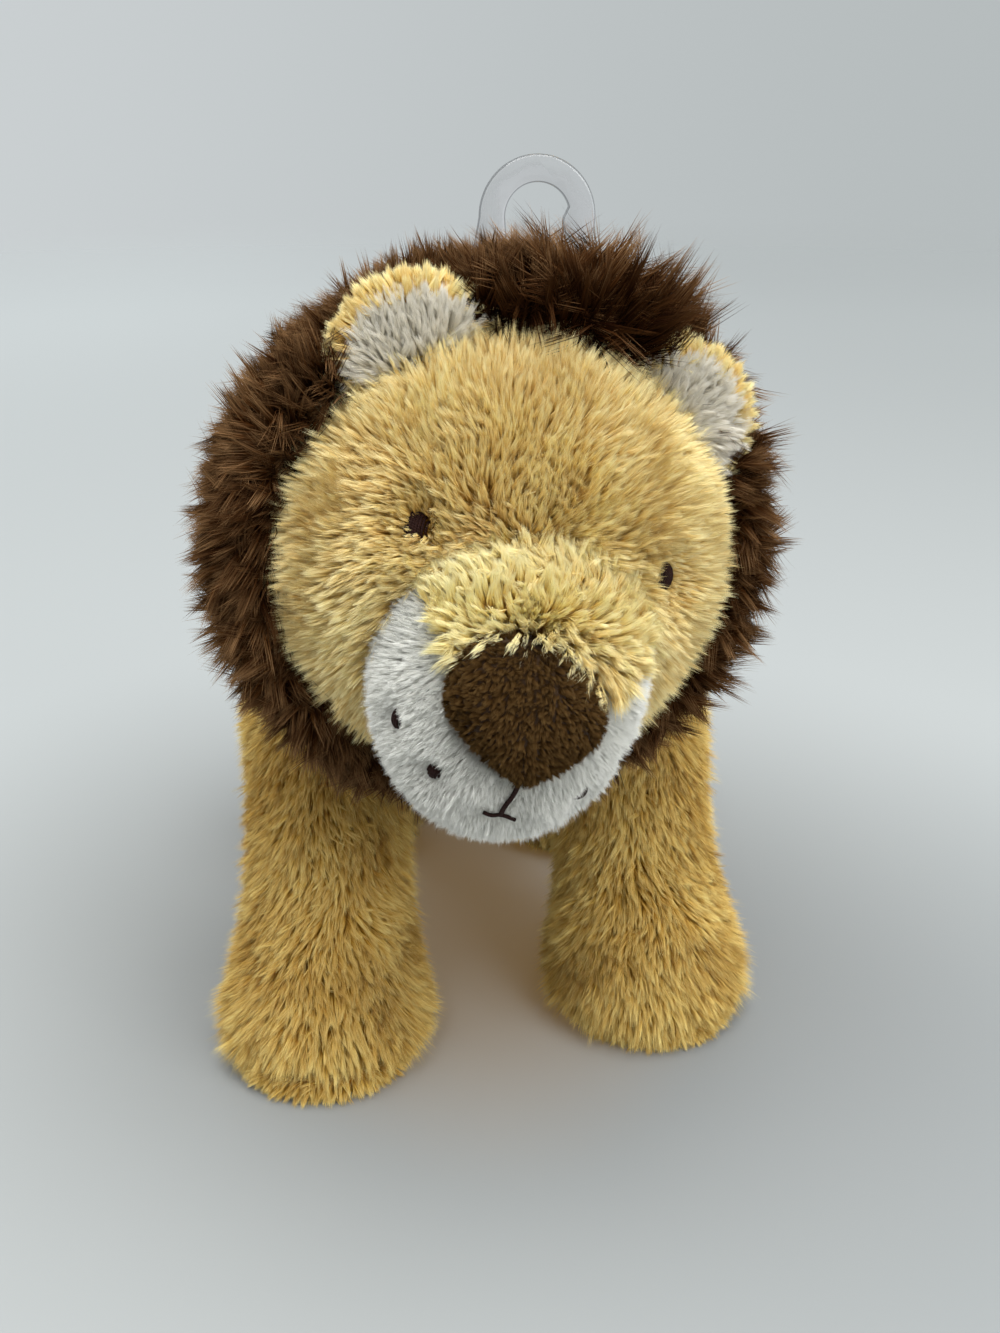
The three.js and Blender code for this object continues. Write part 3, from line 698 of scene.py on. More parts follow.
def face_flow(points, normals):
    """Pile runs away from the top of the muzzle, and round the eyes."""
    at = in_head(points)
    away = at - np.array((0, -55, 6.0))
    away[:, 2] += 6
    for sign in (-1, 1):
        gap = at - np.array((sign * eye_side, -eye_forward, eye_rise))
        far = np.linalg.norm(gap, axis=1, keepdims=True)
        away = unit(away) + 1.6 * unit(gap) * np.exp(-(far / eye_clip_reach) ** 2)
    return away @ head_turn.T


def face_lean(points, normals):
    edge_share = np.clip((in_head(points)[:, 1] + 40) / 26, 0, 1)
    return 22 + 14 * edge_share + 8 * waves(points, 18, 7)


def face_shade(points, normals):
    return 0.14 * waves(points, 30, 5) + 0.1 * waves(points, 12, 6)


# The undercoat's low tone is painted shade under the top pile; the top pile's high tone is painted light, as
# the face gets more light than the legs.
for name, hairs, length, lock, tone, seed in (
    ("face_undercoat", 90000, 6.4, 1.2, 0.45, 11), ("face_pile", 198000, 8.6, 1.0, 0.7, 12),
):
    grow(name, face, yellow_pile, "head", hairs, face_length(length), 0.36, face_flow, face_lean, lock, seed,
         keep=on_face, shade=face_shade, tone=tone, wild=0.4, swirl=34, swirl_width=20, gather=0.45)

# %% [markdown]
# The stuffing of the head is a plain ball behind the face, hidden by the covers.

# %% Stuffing of the head
stuffing = ball("head_stuffing", [55] * 3, head_place, 40, 28)
smooth(stuffing)
dress(stuffing, wadding, "head", ["head_filling"])

# %% [markdown]
# The muzzle is a leaning egg of three panels: a yellow bridge on top and a white one on each side. One
# shell is cut from the egg and the face's ball, and planes divide it, as scissors divide cloth.

# %% Muzzle
bridge_half = 18
bridge_drop = 8
bridge_spread = math.tan(45 * degree)
panel_gap = 0.3


def bridge_wedge(widen):
    """The wedge, seen from the front, whose inside is the bridge: narrow below and wide above."""
    rise, front, back = 70, -100, -8
    piece = block()
    for corner in piece.data.vertices:
        upper = corner.co.z > 0
        half = bridge_half + widen + (rise * bridge_spread if upper else 0)
        corner.co.x = math.copysign(half, corner.co.x) / 1000
        corner.co.y = (front if corner.co.y < 0 else back) / 1000
        corner.co.z = (-bridge_drop - widen + (rise if upper else 0)) / 1000
    piece.data.transform(head_place)
    return piece


muzzle = ball("muzzle_shell", muzzle_half, muzzle_place, 64, 48)
cut(muzzle, [ball("head_core", [head_radius + 0.4] * 3, head_place, 48, 32)])
panels = {}
for name in ("muzzle_bridge", "muzzle_left", "muzzle_right"):
    panel = panels[name] = stand(name + "_plush", muzzle.data.copy())
    if name == "muzzle_bridge":
        cut(panel, [bridge_wedge(0)], "INTERSECT")
    else:
        cut(panel, [bridge_wedge(panel_gap)])
        sign = 1 if name == "muzzle_right" else -1
        bisect(panel, (sign * panel_gap / 2, 0, 0), (-sign, 0, 0), head_place)
    smooth(panel)
    dress(panel, yellow_cloth if name == "muzzle_bridge" else white_cloth, "head", [name])
bpy.data.objects.remove(muzzle)


def on_muzzle(rise, side, height):
    """A point of the muzzle's skin, seen from its centre at these angles, a height above it."""
    direction = Vector((
        math.sin(side * degree) * math.cos(rise * degree),
        -math.cos(side * degree) * math.cos(rise * degree),
        math.sin(rise * degree),
    ))
    reach = 1 / math.sqrt(sum((d / (half + height)) ** 2 for d, half in zip(direction, muzzle_half)))
    return muzzle_place @ (direction * reach / 1000)


nose_half = (18.4, 16.8, 8.6)
nose_lean = 7 * degree
nose_place = (
    Matrix.Translation(on_muzzle(-14, 0, 0) + Vector(head_way(-0.0032, 0, 0.0004)))
    @ head_place.to_3x3().to_4x4()
    @ Matrix.Rotation(math.pi / 2 - muzzle_lean + nose_lean, 4, "X")
)
in_nose = seen_from(nose_place)
whisker_angles = ((-27, 70), (-47, 50))
whisker_places = [on_muzzle(rise, sign * side, 0) for rise, side in whisker_angles for sign in (-1, 1)]
mouth_route = ((-44, 0), (-52, -1), (-58, -3), (-63, -3))
mouth_ends = ((-63, -17), (-64, -10), (-63, -3), (-65, 12))
mouth_places = [on_muzzle(rise, side, 0) for rise, side in mouth_route + mouth_ends]
stitch_spots = [(place, 0.0026) for place in whisker_places] + [(place, 0.001) for place in mouth_places]

# %% [markdown]
# On the bridge the pile parts over an arc: above it the pile runs up to the brow, and below it falls over
# the nose. On the white panels it runs down and outwards, and is clipped short round the stitches.


# %% Pile of the muzzle
def on_muzzle_skin(points, normals):
    nose = in_nose(points)
    clear = (np.abs(nose[:, 0]) / 16) ** 2 + (nose[:, 1] / 14.8) ** 2 > 1
    for place, radius in stitch_spots:
        clear &= np.linalg.norm(points - np.array(place), axis=1) > radius
    outside = np.linalg.norm(in_head(points), axis=1) > head_radius + 0.5
    return (egg(in_muzzle(points), muzzle_half) > 0.985) & outside & (clear | (nose[:, 2] < -10))


def above_parting(points):
    """How far to the side a point of the bridge is, and how far above its arc of a parting."""
    at = in_head(points)
    return at[:, 0], at[:, 2] - 2.5 + 0.018 * at[:, 0] ** 2


def bridge_flow(points, normals):
    side, above = above_parting(points)
    out = np.where(side < 0, side / 18, side / 34)
    way = np.stack([out, np.full(len(side), -0.55), np.clip(above / 4, -0.8, 1.1)], axis=1)
    return way @ head_turn.T


def bridge_lean(points, normals):
    """Upright where the pile parts, so that no skin shows there."""
    side, above = above_parting(points)
    return np.where(above > 0, 8 + 34 * np.clip(above / 9, 0, 1), 8 + 42 * np.clip(-above / 7, 0, 1))


def bridge_length(points, normals):
    """Longest at the foot, where it hangs over the nose."""
    return 7.6 + 1.8 * np.clip(-above_parting(points)[1] / 5, 0, 1)


def bridge_shade(points, normals):
    """Palest at the left, where the pile meets the white panel, and golden near the nose."""
    side, above = above_parting(points)
    return face_shade(points, normals) + 0.3 * np.clip(-side / 16, 0, 1) - 0.2 * np.clip(-above / 6, 0, 1)


def cheek_flow(points, normals):
    way = in_head(points) - np.array((0, -70, -12.0))
    way[:, 2] -= 10
    return way @ head_turn.T


def cheek_length(points, normals):
    nearest = np.min([np.linalg.norm(points - np.array(place), axis=1) for place, _ in stitch_spots], axis=0)
    return 3.8 * np.clip(nearest * 1000 / 7, 0.3, 1)


grow("muzzle_bridge_pile", panels["muzzle_bridge"], pale_pile, "head", 58000, bridge_length, 0.26,
     bridge_flow, bridge_lean, 1.2, 21, keep=on_muzzle_skin, wild=0.55, tone=0.82, shade=bridge_shade,
     bends=1, bend=0.7)
for side, seed in (("left", 22), ("right", 23)):
    grow(f"muzzle_{side}_pile", panels[f"muzzle_{side}"], white_pile, "head", 86000, cheek_length, 0.25,
         cheek_flow, 30, 0.7, seed, keep=on_muzzle_skin, wild=0.35, gather=0.1, tone=0.55)

# %% [markdown]
# The nose is a stuffed pad of fleece, broad above and blunt below. It starts as a ball, its lower half is
# drawn in and pushed a little aside, as its stuffing is, and its own short nap is sown over it.

# %% Nose
nose_narrow_share = 0.62
nose_aside_share = 0.14
pick()
bpy.ops.mesh.primitive_uv_sphere_add(segments=56, ring_count=32, radius=1)
nose = bpy.context.object
nose.name = "nose_plush"
for corner in nose.data.vertices:
    lower = max(0.0, -corner.co.y)
    corner.co.x = corner.co.x * (1 - nose_narrow_share * lower * lower) - nose_aside_share * corner.co.y
nose.scale = mm(*nose_half)
bpy.ops.object.transform_apply(location=True, rotation=True, scale=True)
nose.data.transform(nose_place)
cut(nose, [muzzle_solid], keep_tools=True)
smooth(nose, 60)
dress(nose, nose_cloth, "head", ["nose"])


def on_nose(points, normals):
    return past_muzzle(points, 0.6)


def nose_flow(points, normals):
    """The nap is stroked down and outwards from the top of the nose."""
    side = in_nose(points)[:, 0]
    return np.stack([side * 0.12, -1 + 0 * side, 0 * side], axis=1) @ np.array(nose_place.to_3x3()).T


def nose_shade(points, normals):
    return 0.15 * waves(points, 6, 35)


grow("nose_nap", nose, nose_pile, "head", 60000, 2.4, 0.2, nose_flow, 58, 0.8, 34, keep=on_nose, wild=0.6,
     gather=0.4, shade=nose_shade, swirl=24, swirl_width=14)

# %% [markdown]
# Each ear has its own frame, which stands on the head's seam and leans outwards. The mane leaves a
# room for each ear.

# %% Frames of the ears
ear_angle = 38 * degree
ear_half = (19, 6, 18.5)
ear_seat = 58.3
ear_reach = math.sqrt(ear_seat ** 2 - seam_forward ** 2)


def ear_place(sign):
    along = Vector((math.cos(ear_angle), 0, -sign * math.sin(ear_angle)))
    radial = Vector((sign * math.sin(ear_angle), 0, math.cos(ear_angle)))
    turn = Matrix((along, Vector((0, 1, 0)), radial)).transposed().to_4x4()
    root = mm(sign * ear_reach * math.sin(ear_angle), -seam_forward, ear_reach * math.cos(ear_angle))
    return head_place @ Matrix.Translation(root) @ turn


def near_ears(points):
    """Yes where a point is in the room of an ear."""
    found = np.zeros(len(points), bool)
    for sign in (-1, 1):
        at = seen_from(ear_place(sign))(points)
        side, depth = np.abs(at[:, 0]), np.abs(at[:, 1])
        found |= (side < ear_half[0] + 1) & (depth < ear_half[1] + 1) & (at[:, 2] > -1)
    return found


# %% [markdown]
# The mane is a thick ball of brown plush behind the face. A profile is drawn from the back pole to the brim
# and over its puffy front, and is turned round the face's own axis by a screw modifier. It is then hollowed
# for the head and the neck, and the ears' rooms are cut. Its long hair has a bend, over a straight
# undercoat.

# %% Mane
brim_start = 112  # degrees from the front, seen from the ball's centre
mane_hollow = 56
neck_opening = 28.5
ear_room_half, ear_room_foot, ear_room_top = 20, -4, 30
ear_room_depths = (13, 6.5)  # at its top and at its foot, each way
puffy_front = [
    (brim_radius, 8), (brim_radius, -7), (68, -14), (64, -17), (60.5, -15.5), (58.6, -13.7), (0, -13.7),
]
shape = bmesh.new()
profile = [
    (mane_radius * math.sin(turn * degree), -mane_forward - mane_radius * math.cos(turn * degree))
    for turn in np.linspace(180, brim_start, 14)
] + puffy_front
line = [shape.verts.new(mm(radius, along, 0)) for radius, along in profile]
for first, second in zip(line, line[1:]):
    shape.edges.new((first, second))
mane = sewn("mane_plush", shape)
modify(mane, "SCREW", axis="Y", steps=72, render_steps=72, use_merge_vertices=True, merge_threshold=1e-6)
bpy.ops.object.mode_set(mode="EDIT")
bpy.ops.mesh.select_all(action="SELECT")
bpy.ops.mesh.remove_doubles(threshold=1e-6)
bpy.ops.mesh.normals_make_consistent(inside=False)
bpy.ops.object.mode_set(mode="OBJECT")
mane.data.transform(head_place)
cut(mane, [
    ball("head_core", [mane_hollow] * 3, head_place, 48, 32),
    rod("neck_core", neck_opening, head_place.translation, neck_direction, 110),
])
for sign in (-1, 1):
    room = block()
    for corner in room.data.vertices:
        far = corner.co.z > 0
        corner.co.x = math.copysign(ear_room_half, corner.co.x) / 1000
        corner.co.y = math.copysign(ear_room_depths[0 if far else 1], corner.co.y) / 1000
        corner.co.z = (ear_room_top if far else ear_room_foot) / 1000
    room.data.transform(ear_place(sign))
    cut(mane, [room])
smooth(mane)
dress(mane, brown_cloth, "head", ["mane"])


def in_mane(points):
    """Millimetres of the head's frame, and how far out from the face's axis."""
    at = in_head(points)
    return at, np.linalg.norm(at[:, [0, 2]], axis=1)


def on_mane(points, normals):
    at, out = in_mane(points)
    on_ball = np.linalg.norm(at + np.array((0, mane_forward, 0)), axis=1) > mane_radius - 1
    brim = at[:, 1] < 20
    skin = (on_ball | brim) & (out > 58.2) | (at[:, 1] > 20) & on_ball
    axis = head_turn.T @ np.array(neck_direction)
    neck = at @ axis
    aside = np.linalg.norm(at - neck[:, None] * axis, axis=1)
    return skin & ~((neck > 0) & (aside < neck_opening + 1.5)) & ~near_ears(points)


def mane_flow(points, normals):
    """Locks stream outwards round the face and back over the ball, and sag."""
    at = in_head(points)
    radial = unit(at * np.array((1.0, 0.0, 1.0)))
    back = np.clip((at[:, 1] + 5) / 45, 0, 1)[:, None]
    way = radial * (1 - back) + np.array((0, 1.0, 0)) * (0.15 + back)
    return way @ head_turn.T + np.array((0, 0, -0.3)) - back * np.array((0, 0, 0.5))


def mane_lean(points, normals):
    return np.where(in_head(points)[:, 1] < -8, 50, 56)


def mane_length(points, normals):
    """Longest at the crown, short round the left ear, and shortest against the face."""
    at, out = in_mane(points)
    round_face = np.arctan2(at[:, 0], at[:, 2]) / degree
    crown = np.exp(-((round_face - 14) / 22) ** 2)
    ear = np.exp(-((round_face + 32) / 26) ** 2)
    front = np.where(at[:, 1] < -8, np.clip((out - 54) / 9, 0.55, 1), 1)
    return (15.5 + 7 * crown - 4.5 * ear) * front


def mane_shade(points, normals):
    """Darkest against the face, as painted shade where the mane meets it, and darker at the crown."""
    at, out = in_mane(points)
    painted_shade_near_face = np.where(at[:, 1] < -4, np.clip((69 - out) / 8, 0, 1), 0)
    crown = np.clip((at[:, 2] - 30) / 20, 0, 1)
    uneven = 0.14 * waves(points, 30, 41) + 0.1 * waves(points, 11, 42)
    return 0.06 - 0.12 * crown + uneven - (0.3 + 0.5 * crown) * painted_shade_near_face


def on_brim(points, normals):
    return on_mane(points, normals) & (in_head(points)[:, 1] < 12)


def on_back_of_mane(points, normals):
    return on_mane(points, normals) & (in_head(points)[:, 1] >= 12)


for name, where, hairs, width, seed in (
    ("mane_pile", on_brim, 66000, 0.34, 42), ("mane_back_pile", on_back_of_mane, 34000, 0.6, 43),
):
    grow(name, mane, brown_pile, "head", hairs, mane_length, width, mane_flow, mane_lean, 2.3, seed,
         keep=where, shade=mane_shade, wild=0.8, gather=0.48, bends=1, swirl=34)
# The undercoat's lower tone is painted shade under the long hair.
grow("mane_undercoat", mane, brown_pile, "head", 100000, 11, 0.38, mane_flow, 46, 1.6, 44, keep=on_brim,
     shade=mane_shade, wild=0.7, tone=0.45, swirl=34)

# %% [markdown]
# Each ear is a half egg of pale plush with a white panel let into its front. The boolean takes the same
# ellipse from one and gives it to the other, so that their edges meet as a seam.

# %% Ears
ear_panel_half = (15.5, 15)
slab_depth = 12
for side, sign in (("left", -1), ("right", 1)):
    place = ear_place(sign)
    core = ball("head_core", [ear_seat] * 3, head_place, 48, 32)
    rim = ball(f"ear_outer_{side}_plush", ear_half, place, 40, 24)
    bisect(rim, (0, 0, 0), (0, 0, -1), place)
    cut(rim, [core])
    panel = stand(f"ear_inner_{side}_plush", rim.data.copy())
    for piece, shrink, operation in ((rim, 0.0, "DIFFERENCE"), (panel, panel_gap, "INTERSECT")):
        pick()
        bpy.ops.mesh.primitive_cylinder_add(vertices=48, radius=1, depth=1)
        slab = bpy.context.object
        slab.data.transform(Matrix.Rotation(math.pi / 2, 4, "X"))
        wide, tall = [half - shrink for half in ear_panel_half]
        slab.data.transform(Matrix.Diagonal((*mm(wide, slab_depth, tall), 1)))
        slab.data.transform(place @ Matrix.Translation(mm(0, -slab_depth / 2 - shrink, 0)))
        cut(piece, [slab], operation)
        smooth(piece)
    body = f"ear_{side}"
    dress(rim, yellow_cloth, body, [f"ear_outer_{side}"])
    dress(panel, white_cloth, body, [f"ear_inner_{side}"])
    in_ear = seen_from(place)

    def on_rim(points, normals, in_ear=in_ear):
        at = in_ear(points)
        return (egg(at, ear_half) > 0.93) & (at[:, 2] > 1)

    def on_panel(points, normals, in_ear=in_ear):
        at = in_ear(points)
        return (at[:, 1] < -1) & (egg(at, ear_half) > 0.9) & (at[:, 2] > 0.5)

    def ear_flow(points, normals, in_ear=in_ear, place=place):
        at = in_ear(points)
        way = np.stack([at[:, 0] * 0.9, at[:, 1] * 0.2, at[:, 2] + 6], axis=1)
        return way @ np.array(place.to_3x3()).T

    grow(f"ear_outer_{side}_pile", rim, pale_pile, body, 25000, 5.4, 0.36, ear_flow, 52, 1.3, 50 + sign,
         keep=on_rim, wild=0.4, tone=0.66)
    grow(f"ear_inner_{side}_pile", panel, cream_pile, body, 24000, 6, 0.28, ear_flow, 58, 1.0, 54 + sign,
         keep=on_panel, wild=0.3, tone=0.6, gather=0.25)

# %% [markdown]
# A leg is a stuffed tube: a ball at the shoulder, a narrower shin and a broad foot. It is drawn as rings,
# each extruded from the last and scaled, and a subdivision modifier rounds it. Its foot stands flat on the
# floor.

# %% Frames of the legs, and limbs of rings
# Distance and radius: from the shoulder down, and then, with a minus, from the floor up.
leg_rings = [(0, 25), (42, 20.5), (-30, 26.3), (-17, 29), (-7, 27.6), (-2.6, 25.6)]
shoulder_radius = 25
sole_seam = 8.5  # above the floor
feet = {
    "front_left": ((-49.9, -9.74, 101), (-54.9, -52.74)),
    "front_right": ((48.1, -9.74, 101), (55.1, -38.74)),
    "hind_left": ((-49.9, 82.26, 98), (-50.9, 88.26)),
    "hind_right": ((48.1, 82.26, 98), (49.1, 88.26)),
}
body_centre = (middle, 37.26, 115)


def leg_axis(name):
    root, foot = feet[name]
    start = Vector(mm(*root))
    down = Vector(mm(*foot, 0)) - start
    return start, down.normalized(), down.length * 1000


def dome(radius, angles):
    """Rings of a rounded end, as (distance down the axis, radius)."""
    return [(-radius * math.cos(angle * degree), radius * math.sin(angle * degree)) for angle in angles]


def limb(name, place, rings, sides=20):
    """A closed tube of rings, given as (distance down its axis, radius), rounded by subdivision."""
    top, radius = rings[0]
    level = top
    pick()
    bpy.ops.mesh.primitive_circle_add(vertices=sides, radius=radius / 1000, fill_type="NGON")
    piece = bpy.context.object
    piece.name = name
    bpy.ops.object.mode_set(mode="EDIT")
    bpy.ops.mesh.select_all(action="SELECT")
    for next_level, next_radius in rings[1:]:
        move = {"value": (0, 0, (level - next_level) / 1000)}
        bpy.ops.mesh.extrude_region_move(TRANSFORM_OT_translate=move)
        centre = (0, 0, -(next_level - top) / 1000)
        bpy.ops.transform.resize(value=[next_radius / radius] * 3, center_override=centre)
        level, radius = next_level, next_radius
    bpy.ops.mesh.select_all(action="SELECT")
    bpy.ops.mesh.normals_make_consistent(inside=False)
    modify(piece, "SUBSURF", levels=2, render_levels=2)
    piece.data.transform(place)
    return piece


# %% [markdown]
# Pile runs outwards over the shoulder, down the shin and forward over the foot, where it is longest because
# nothing presses it. The front legs stand nearest to the camera, so their hairs are finer and more.

# %% Legs
for name in feet:
    start, down, length = leg_axis(name)
    front = name.startswith("front")
    place = Matrix.Translation(start) @ (-down).to_track_quat("Z", "Y").to_matrix().to_4x4()
    rings = dome(shoulder_radius, (12, 35, 60))
    rings += [(level if level >= 0 else length + level, radius) for level, radius in leg_rings]
    leg = limb(f"{name}_leg_plush", place @ Matrix.Translation(mm(0, 0, -rings[0][0])), rings)
    bisect(leg, (0, 0, sole_seam + 0.2), (0, 0, -1))
    smooth(leg, 60)
    body = f"{name}_leg"
    dress(leg, yellow_cloth, body, [f"{name}_leg_cover", f"{name}_leg_filling"])

    def down_leg(points, start=np.array(start), down=np.array(down)):
        return (points - start) @ down * 1000

    def foot_share(points, down_leg=down_leg):
        """0 on the shin and 1 on the foot."""
        return np.clip((down_leg(points) - 66) / 26, 0, 1)

    def on_leg(points, normals):
        at = points * 1000
        return (egg(at - np.array(body_centre), (46, 75, 45)) >= 1) & (at[:, 2] > sole_seam + 0.8)

    def leg_flow(points, normals, down=np.array(down), outward=math.copysign(1.6, start[0])):
        foot = foot_share(points)[:, None]
        shoulder = np.clip((12 - down_leg(points)) / 30, 0, 1)[:, None] * np.array((outward, 0.3, 0))
        return down * (1 - 0.45 * foot) + 0.35 * foot * np.array((0, -1, -0.4)) + shoulder

    def leg_length(points, normals):
        return 8.6 + 1.8 * foot_share(points)

    def leg_lean(points, normals):
        return 50 - 8 * foot_share(points)

    hairs, width, lock = (175000, 0.36, 1.15) if front else (60000, 0.62, 2)
    seed = 60 + len(name) + (7 if "left" in name else 0)
    grow(f"{name}_leg_pile", leg, shaded_yellow_pile, body, hairs, leg_length, width, leg_flow, leg_lean, lock, seed,
         keep=on_leg, shade=face_shade, wild=0.3, swirl=18, gather=0.42, tone=0.46)

    foot_centre = Vector(mm(*feet[name][1], 0))
    pad = [(0, 22.5), (1.2, 24.6), (4.5, 26.6), (7.2, 26.4), (sole_seam, 24.6)]
    sole = limb(f"{name}_sole_plush", Matrix.Translation(foot_centre) @ Matrix.Rotation(math.pi, 4, "X"), pad)
    smooth(sole, 60)
    dress(sole, yellow_cloth, body, [f"{name}_sole"])

    def on_side_of_sole(points, normals):
        return (points[:, 2] > 0.0008) & (points[:, 2] < 0.0082)

    def sole_flow(points, normals, centre=np.array(foot_centre)):
        return (points - centre) * np.array((1, 1, 0)) * 10 + np.array((0, 0, -0.25))

    hairs, width = (26000, 0.34) if front else (11000, 0.6)
    grow(f"{name}_sole_pile", sole, shaded_yellow_pile, body, hairs, 5.6, width, sole_flow, 44, 1.2, seed + 20,
         keep=on_side_of_sole, shade=face_shade, wild=0.4, tone=0.45)

# %% [markdown]
# The body is one stuffed form with a short neck that enters the mane. Ball and neck are joined by a voxel
# remesh, which rounds the join as stuffing would. The white belly is a thin panel that is lifted off the
# same form.

# %% Body
body_half = (47, 76, 46)
leg_room = 25.8
leg_room_length = 60
head_room = 79
neck_radius, neck_start, neck_length = 27, 57.5, 45
trunk = ball("body_plush", body_half, Matrix.Translation(mm(*body_centre)), 64, 40)
cut(trunk, [ball("head_room", [head_room] * 3, head_place, 48, 32)])
neck_foot = head_place.translation + neck_direction * (neck_start / 1000)
neck = rod("neck", neck_radius, neck_foot, neck_direction, neck_length)
pick(trunk, neck)
bpy.ops.object.join()
modify(trunk, "REMESH", mode="VOXEL", voxel_size=0.0025, use_smooth_shade=True)
modify(trunk, "SMOOTH", iterations=4)
for name in feet:
    start, down, length = leg_axis(name)
    cut(trunk, [ball("leg_room", [leg_room] * 3, Matrix.Translation(start), 32, 24),
                rod("leg_room", leg_room, start, down, leg_room_length, 32)])
smooth(trunk, 50)


def on_body(points, normals):
    at = points * 1000
    kept = egg(at - np.array(body_centre), body_half) > 0.965
    for name in feet:
        start, down, length = leg_axis(name)
        gap = at - np.array(start) * 1000
        reach = np.clip(gap @ np.array(down), 0, leg_room_length)
        kept &= np.linalg.norm(gap - reach[:, None] * np.array(down), axis=1) > 26.5
    return kept & (np.linalg.norm(in_head(points), axis=1) > head_room + 1)


def is_belly(points):
    at = points * 1000
    return (np.abs(at[:, 0] - middle) < 25) & (at[:, 2] < 114)


def on_back(points, normals):
    return on_body(points, normals) & ~is_belly(points)


def on_belly(points, normals):
    return on_body(points, normals) & is_belly(points)


def body_flow(points, normals):
    return np.tile((0.0, 1.0, -0.35), (len(points), 1))


grow("body_pile", trunk, shaded_yellow_pile, "body", 124000, 9.5, 0.52, body_flow, 52, 1.9, 81, keep=on_back,
     shade=face_shade)
grow("belly_pile", trunk, white_pile, "body", 28000, 8, 0.6, body_flow, 54, 2.4, 82, keep=on_belly)

shape = bmesh.new()
shape.from_mesh(trunk.data)
kept = on_belly(np.array([face.calc_center_median()[:] for face in shape.faces]), None)
bmesh.ops.delete(shape, geom=[face for face, keep in zip(shape.faces, kept) if not keep], context="FACES")
belly = sewn("belly_plush", shape)
modify(belly, "SOLIDIFY", thickness=0.0008, offset=1)
dress(trunk, yellow_cloth, "body", ["body_cover", "body_filling"])
dress(belly, white_cloth, "body", ["belly_panel"])

# %% [markdown]
# The tail is a slim stuffed tube that ends in a brown tuft.

# %% Tail
tail_root = Vector(mm(middle, 121.36, 122))
tail_down = Vector((0, math.sin(8 * degree), -math.cos(8 * degree)))
tail_place = Matrix.Translation(tail_root) @ (-tail_down).to_track_quat("Z", "Y").to_matrix().to_4x4()
tail_rings = dome(8, (15, 40, 65)) + [(0, 8), (20, 6.9), (45, 6.5), (61, 6.4), (62, 5)]
tuft_rings = [(62.4, 4), (63.5, 6.6), (75, 11), (87, 14), (96, 11), (102, 6), (102.5, 3)]


def tail_flow(points, normals):
    return np.tile(np.array(tail_down), (len(points), 1))


tail_pieces = []
for name, rings, cloth in (("tail", tail_rings, yellow_cloth), ("tail_tuft", tuft_rings, brown_cloth)):
    piece = limb(f"{name}_plush", tail_place @ Matrix.Translation(mm(0, 0, -rings[0][0])), rings, 14)
    smooth(piece, 60)
    dress(piece, cloth, "tail", [name])
    tail_pieces.append(piece)
tail, tuft = tail_pieces
grow("tail_pile", tail, shaded_yellow_pile, "tail", 28000, 4.6, 0.45, tail_flow, 62, 1.4, 91)
grow("tail_tuft_pile", tuft, brown_pile, "tail", 12000, 14, 0.6, tail_flow, 55, 3.2, 92, wild=0.45, bends=1)

# %% [markdown]
# Eyes and whisker marks are satin stitch: threads laid side by side over a small dome, longest in the
# middle. Each thread is a slim arched tube, and one joined mesh makes a mark.

# %% Stitched marks
thread_steps = 8
thread_sides = 6
thread_overlap = 1.15


def satin(name, centre, outward, along, half_length, half_width, rise, threads):
    """Threads along one way, stacked across the other, arched over a dome."""
    outward = Vector(outward).normalized()
    along = (Vector(along) - outward * Vector(along).dot(outward)).normalized()
    sideways = outward.cross(along)
    shape = bmesh.new()
    radius = half_width / threads * thread_overlap / 1000
    for index in range(threads):
        offset = (2 * (index + 0.5) / threads - 1)
        reach = math.sqrt(1 - offset * offset) * half_length / 1000
        rings = []
        for step in range(thread_steps + 1):
            turn = math.pi * step / thread_steps
            lift = math.sin(turn) * math.sqrt(1 - offset * offset) * rise / 1000
            point = (
                Vector(centre) + sideways * (offset * half_width / 1000)
                - along * (math.cos(turn) * reach) + outward * (lift - 0.0002)
            )
            normal = (outward * math.sin(turn) * half_length - along * math.cos(turn) * rise).normalized()
            angles = [2 * math.pi * corner / thread_sides for corner in range(thread_sides)]
            rings.append([
                shape.verts.new(point + (sideways * math.cos(angle) + normal * math.sin(angle)) * radius)
                for angle in angles
            ])
        for low, high in zip(rings, rings[1:]):
            for corner in range(thread_sides):
                after = (corner + 1) % thread_sides
                shape.faces.new((low[corner], low[after], high[after], high[corner]))
        shape.faces.new(rings[0][::-1])
        shape.faces.new(rings[-1])
    bmesh.ops.recalc_face_normals(shape, faces=shape.faces)
    piece = sewn(name + "_stitches", shape)
    smooth(piece, 60)
    dress(piece, thread_finish, "head", [name])


for side, sign in (("left", -1), ("right", 1)):
    eye = Vector((sign * eye_side, -eye_forward, eye_rise))
    satin(f"eye_{side}", head_place @ (eye / 1000), head_place.to_3x3() @ eye.normalized(),
          head_way(0.2 * sign, 0, 1), 3.8, 3.1, 2.8, 9)
    for level, (rise, turn), reach in zip(("upper", "lower"), whisker_angles, (3.0, 2.4)):
        centre = on_muzzle(rise, sign * turn, 0)
        outward = on_muzzle(rise, sign * turn, 1) - centre
        satin(f"whisker_mark_{level}_{side}", centre, outward, head_way(0.3, 0, 1), reach, 1.8, 2.0, 6)

# %% [markdown]
# The mouth is one thread that runs down from the nose and splits. A curve with a round section makes a
# clean tube along the skin, and is then turned into a mesh.

# %% Mouth
thread_height = 1.2


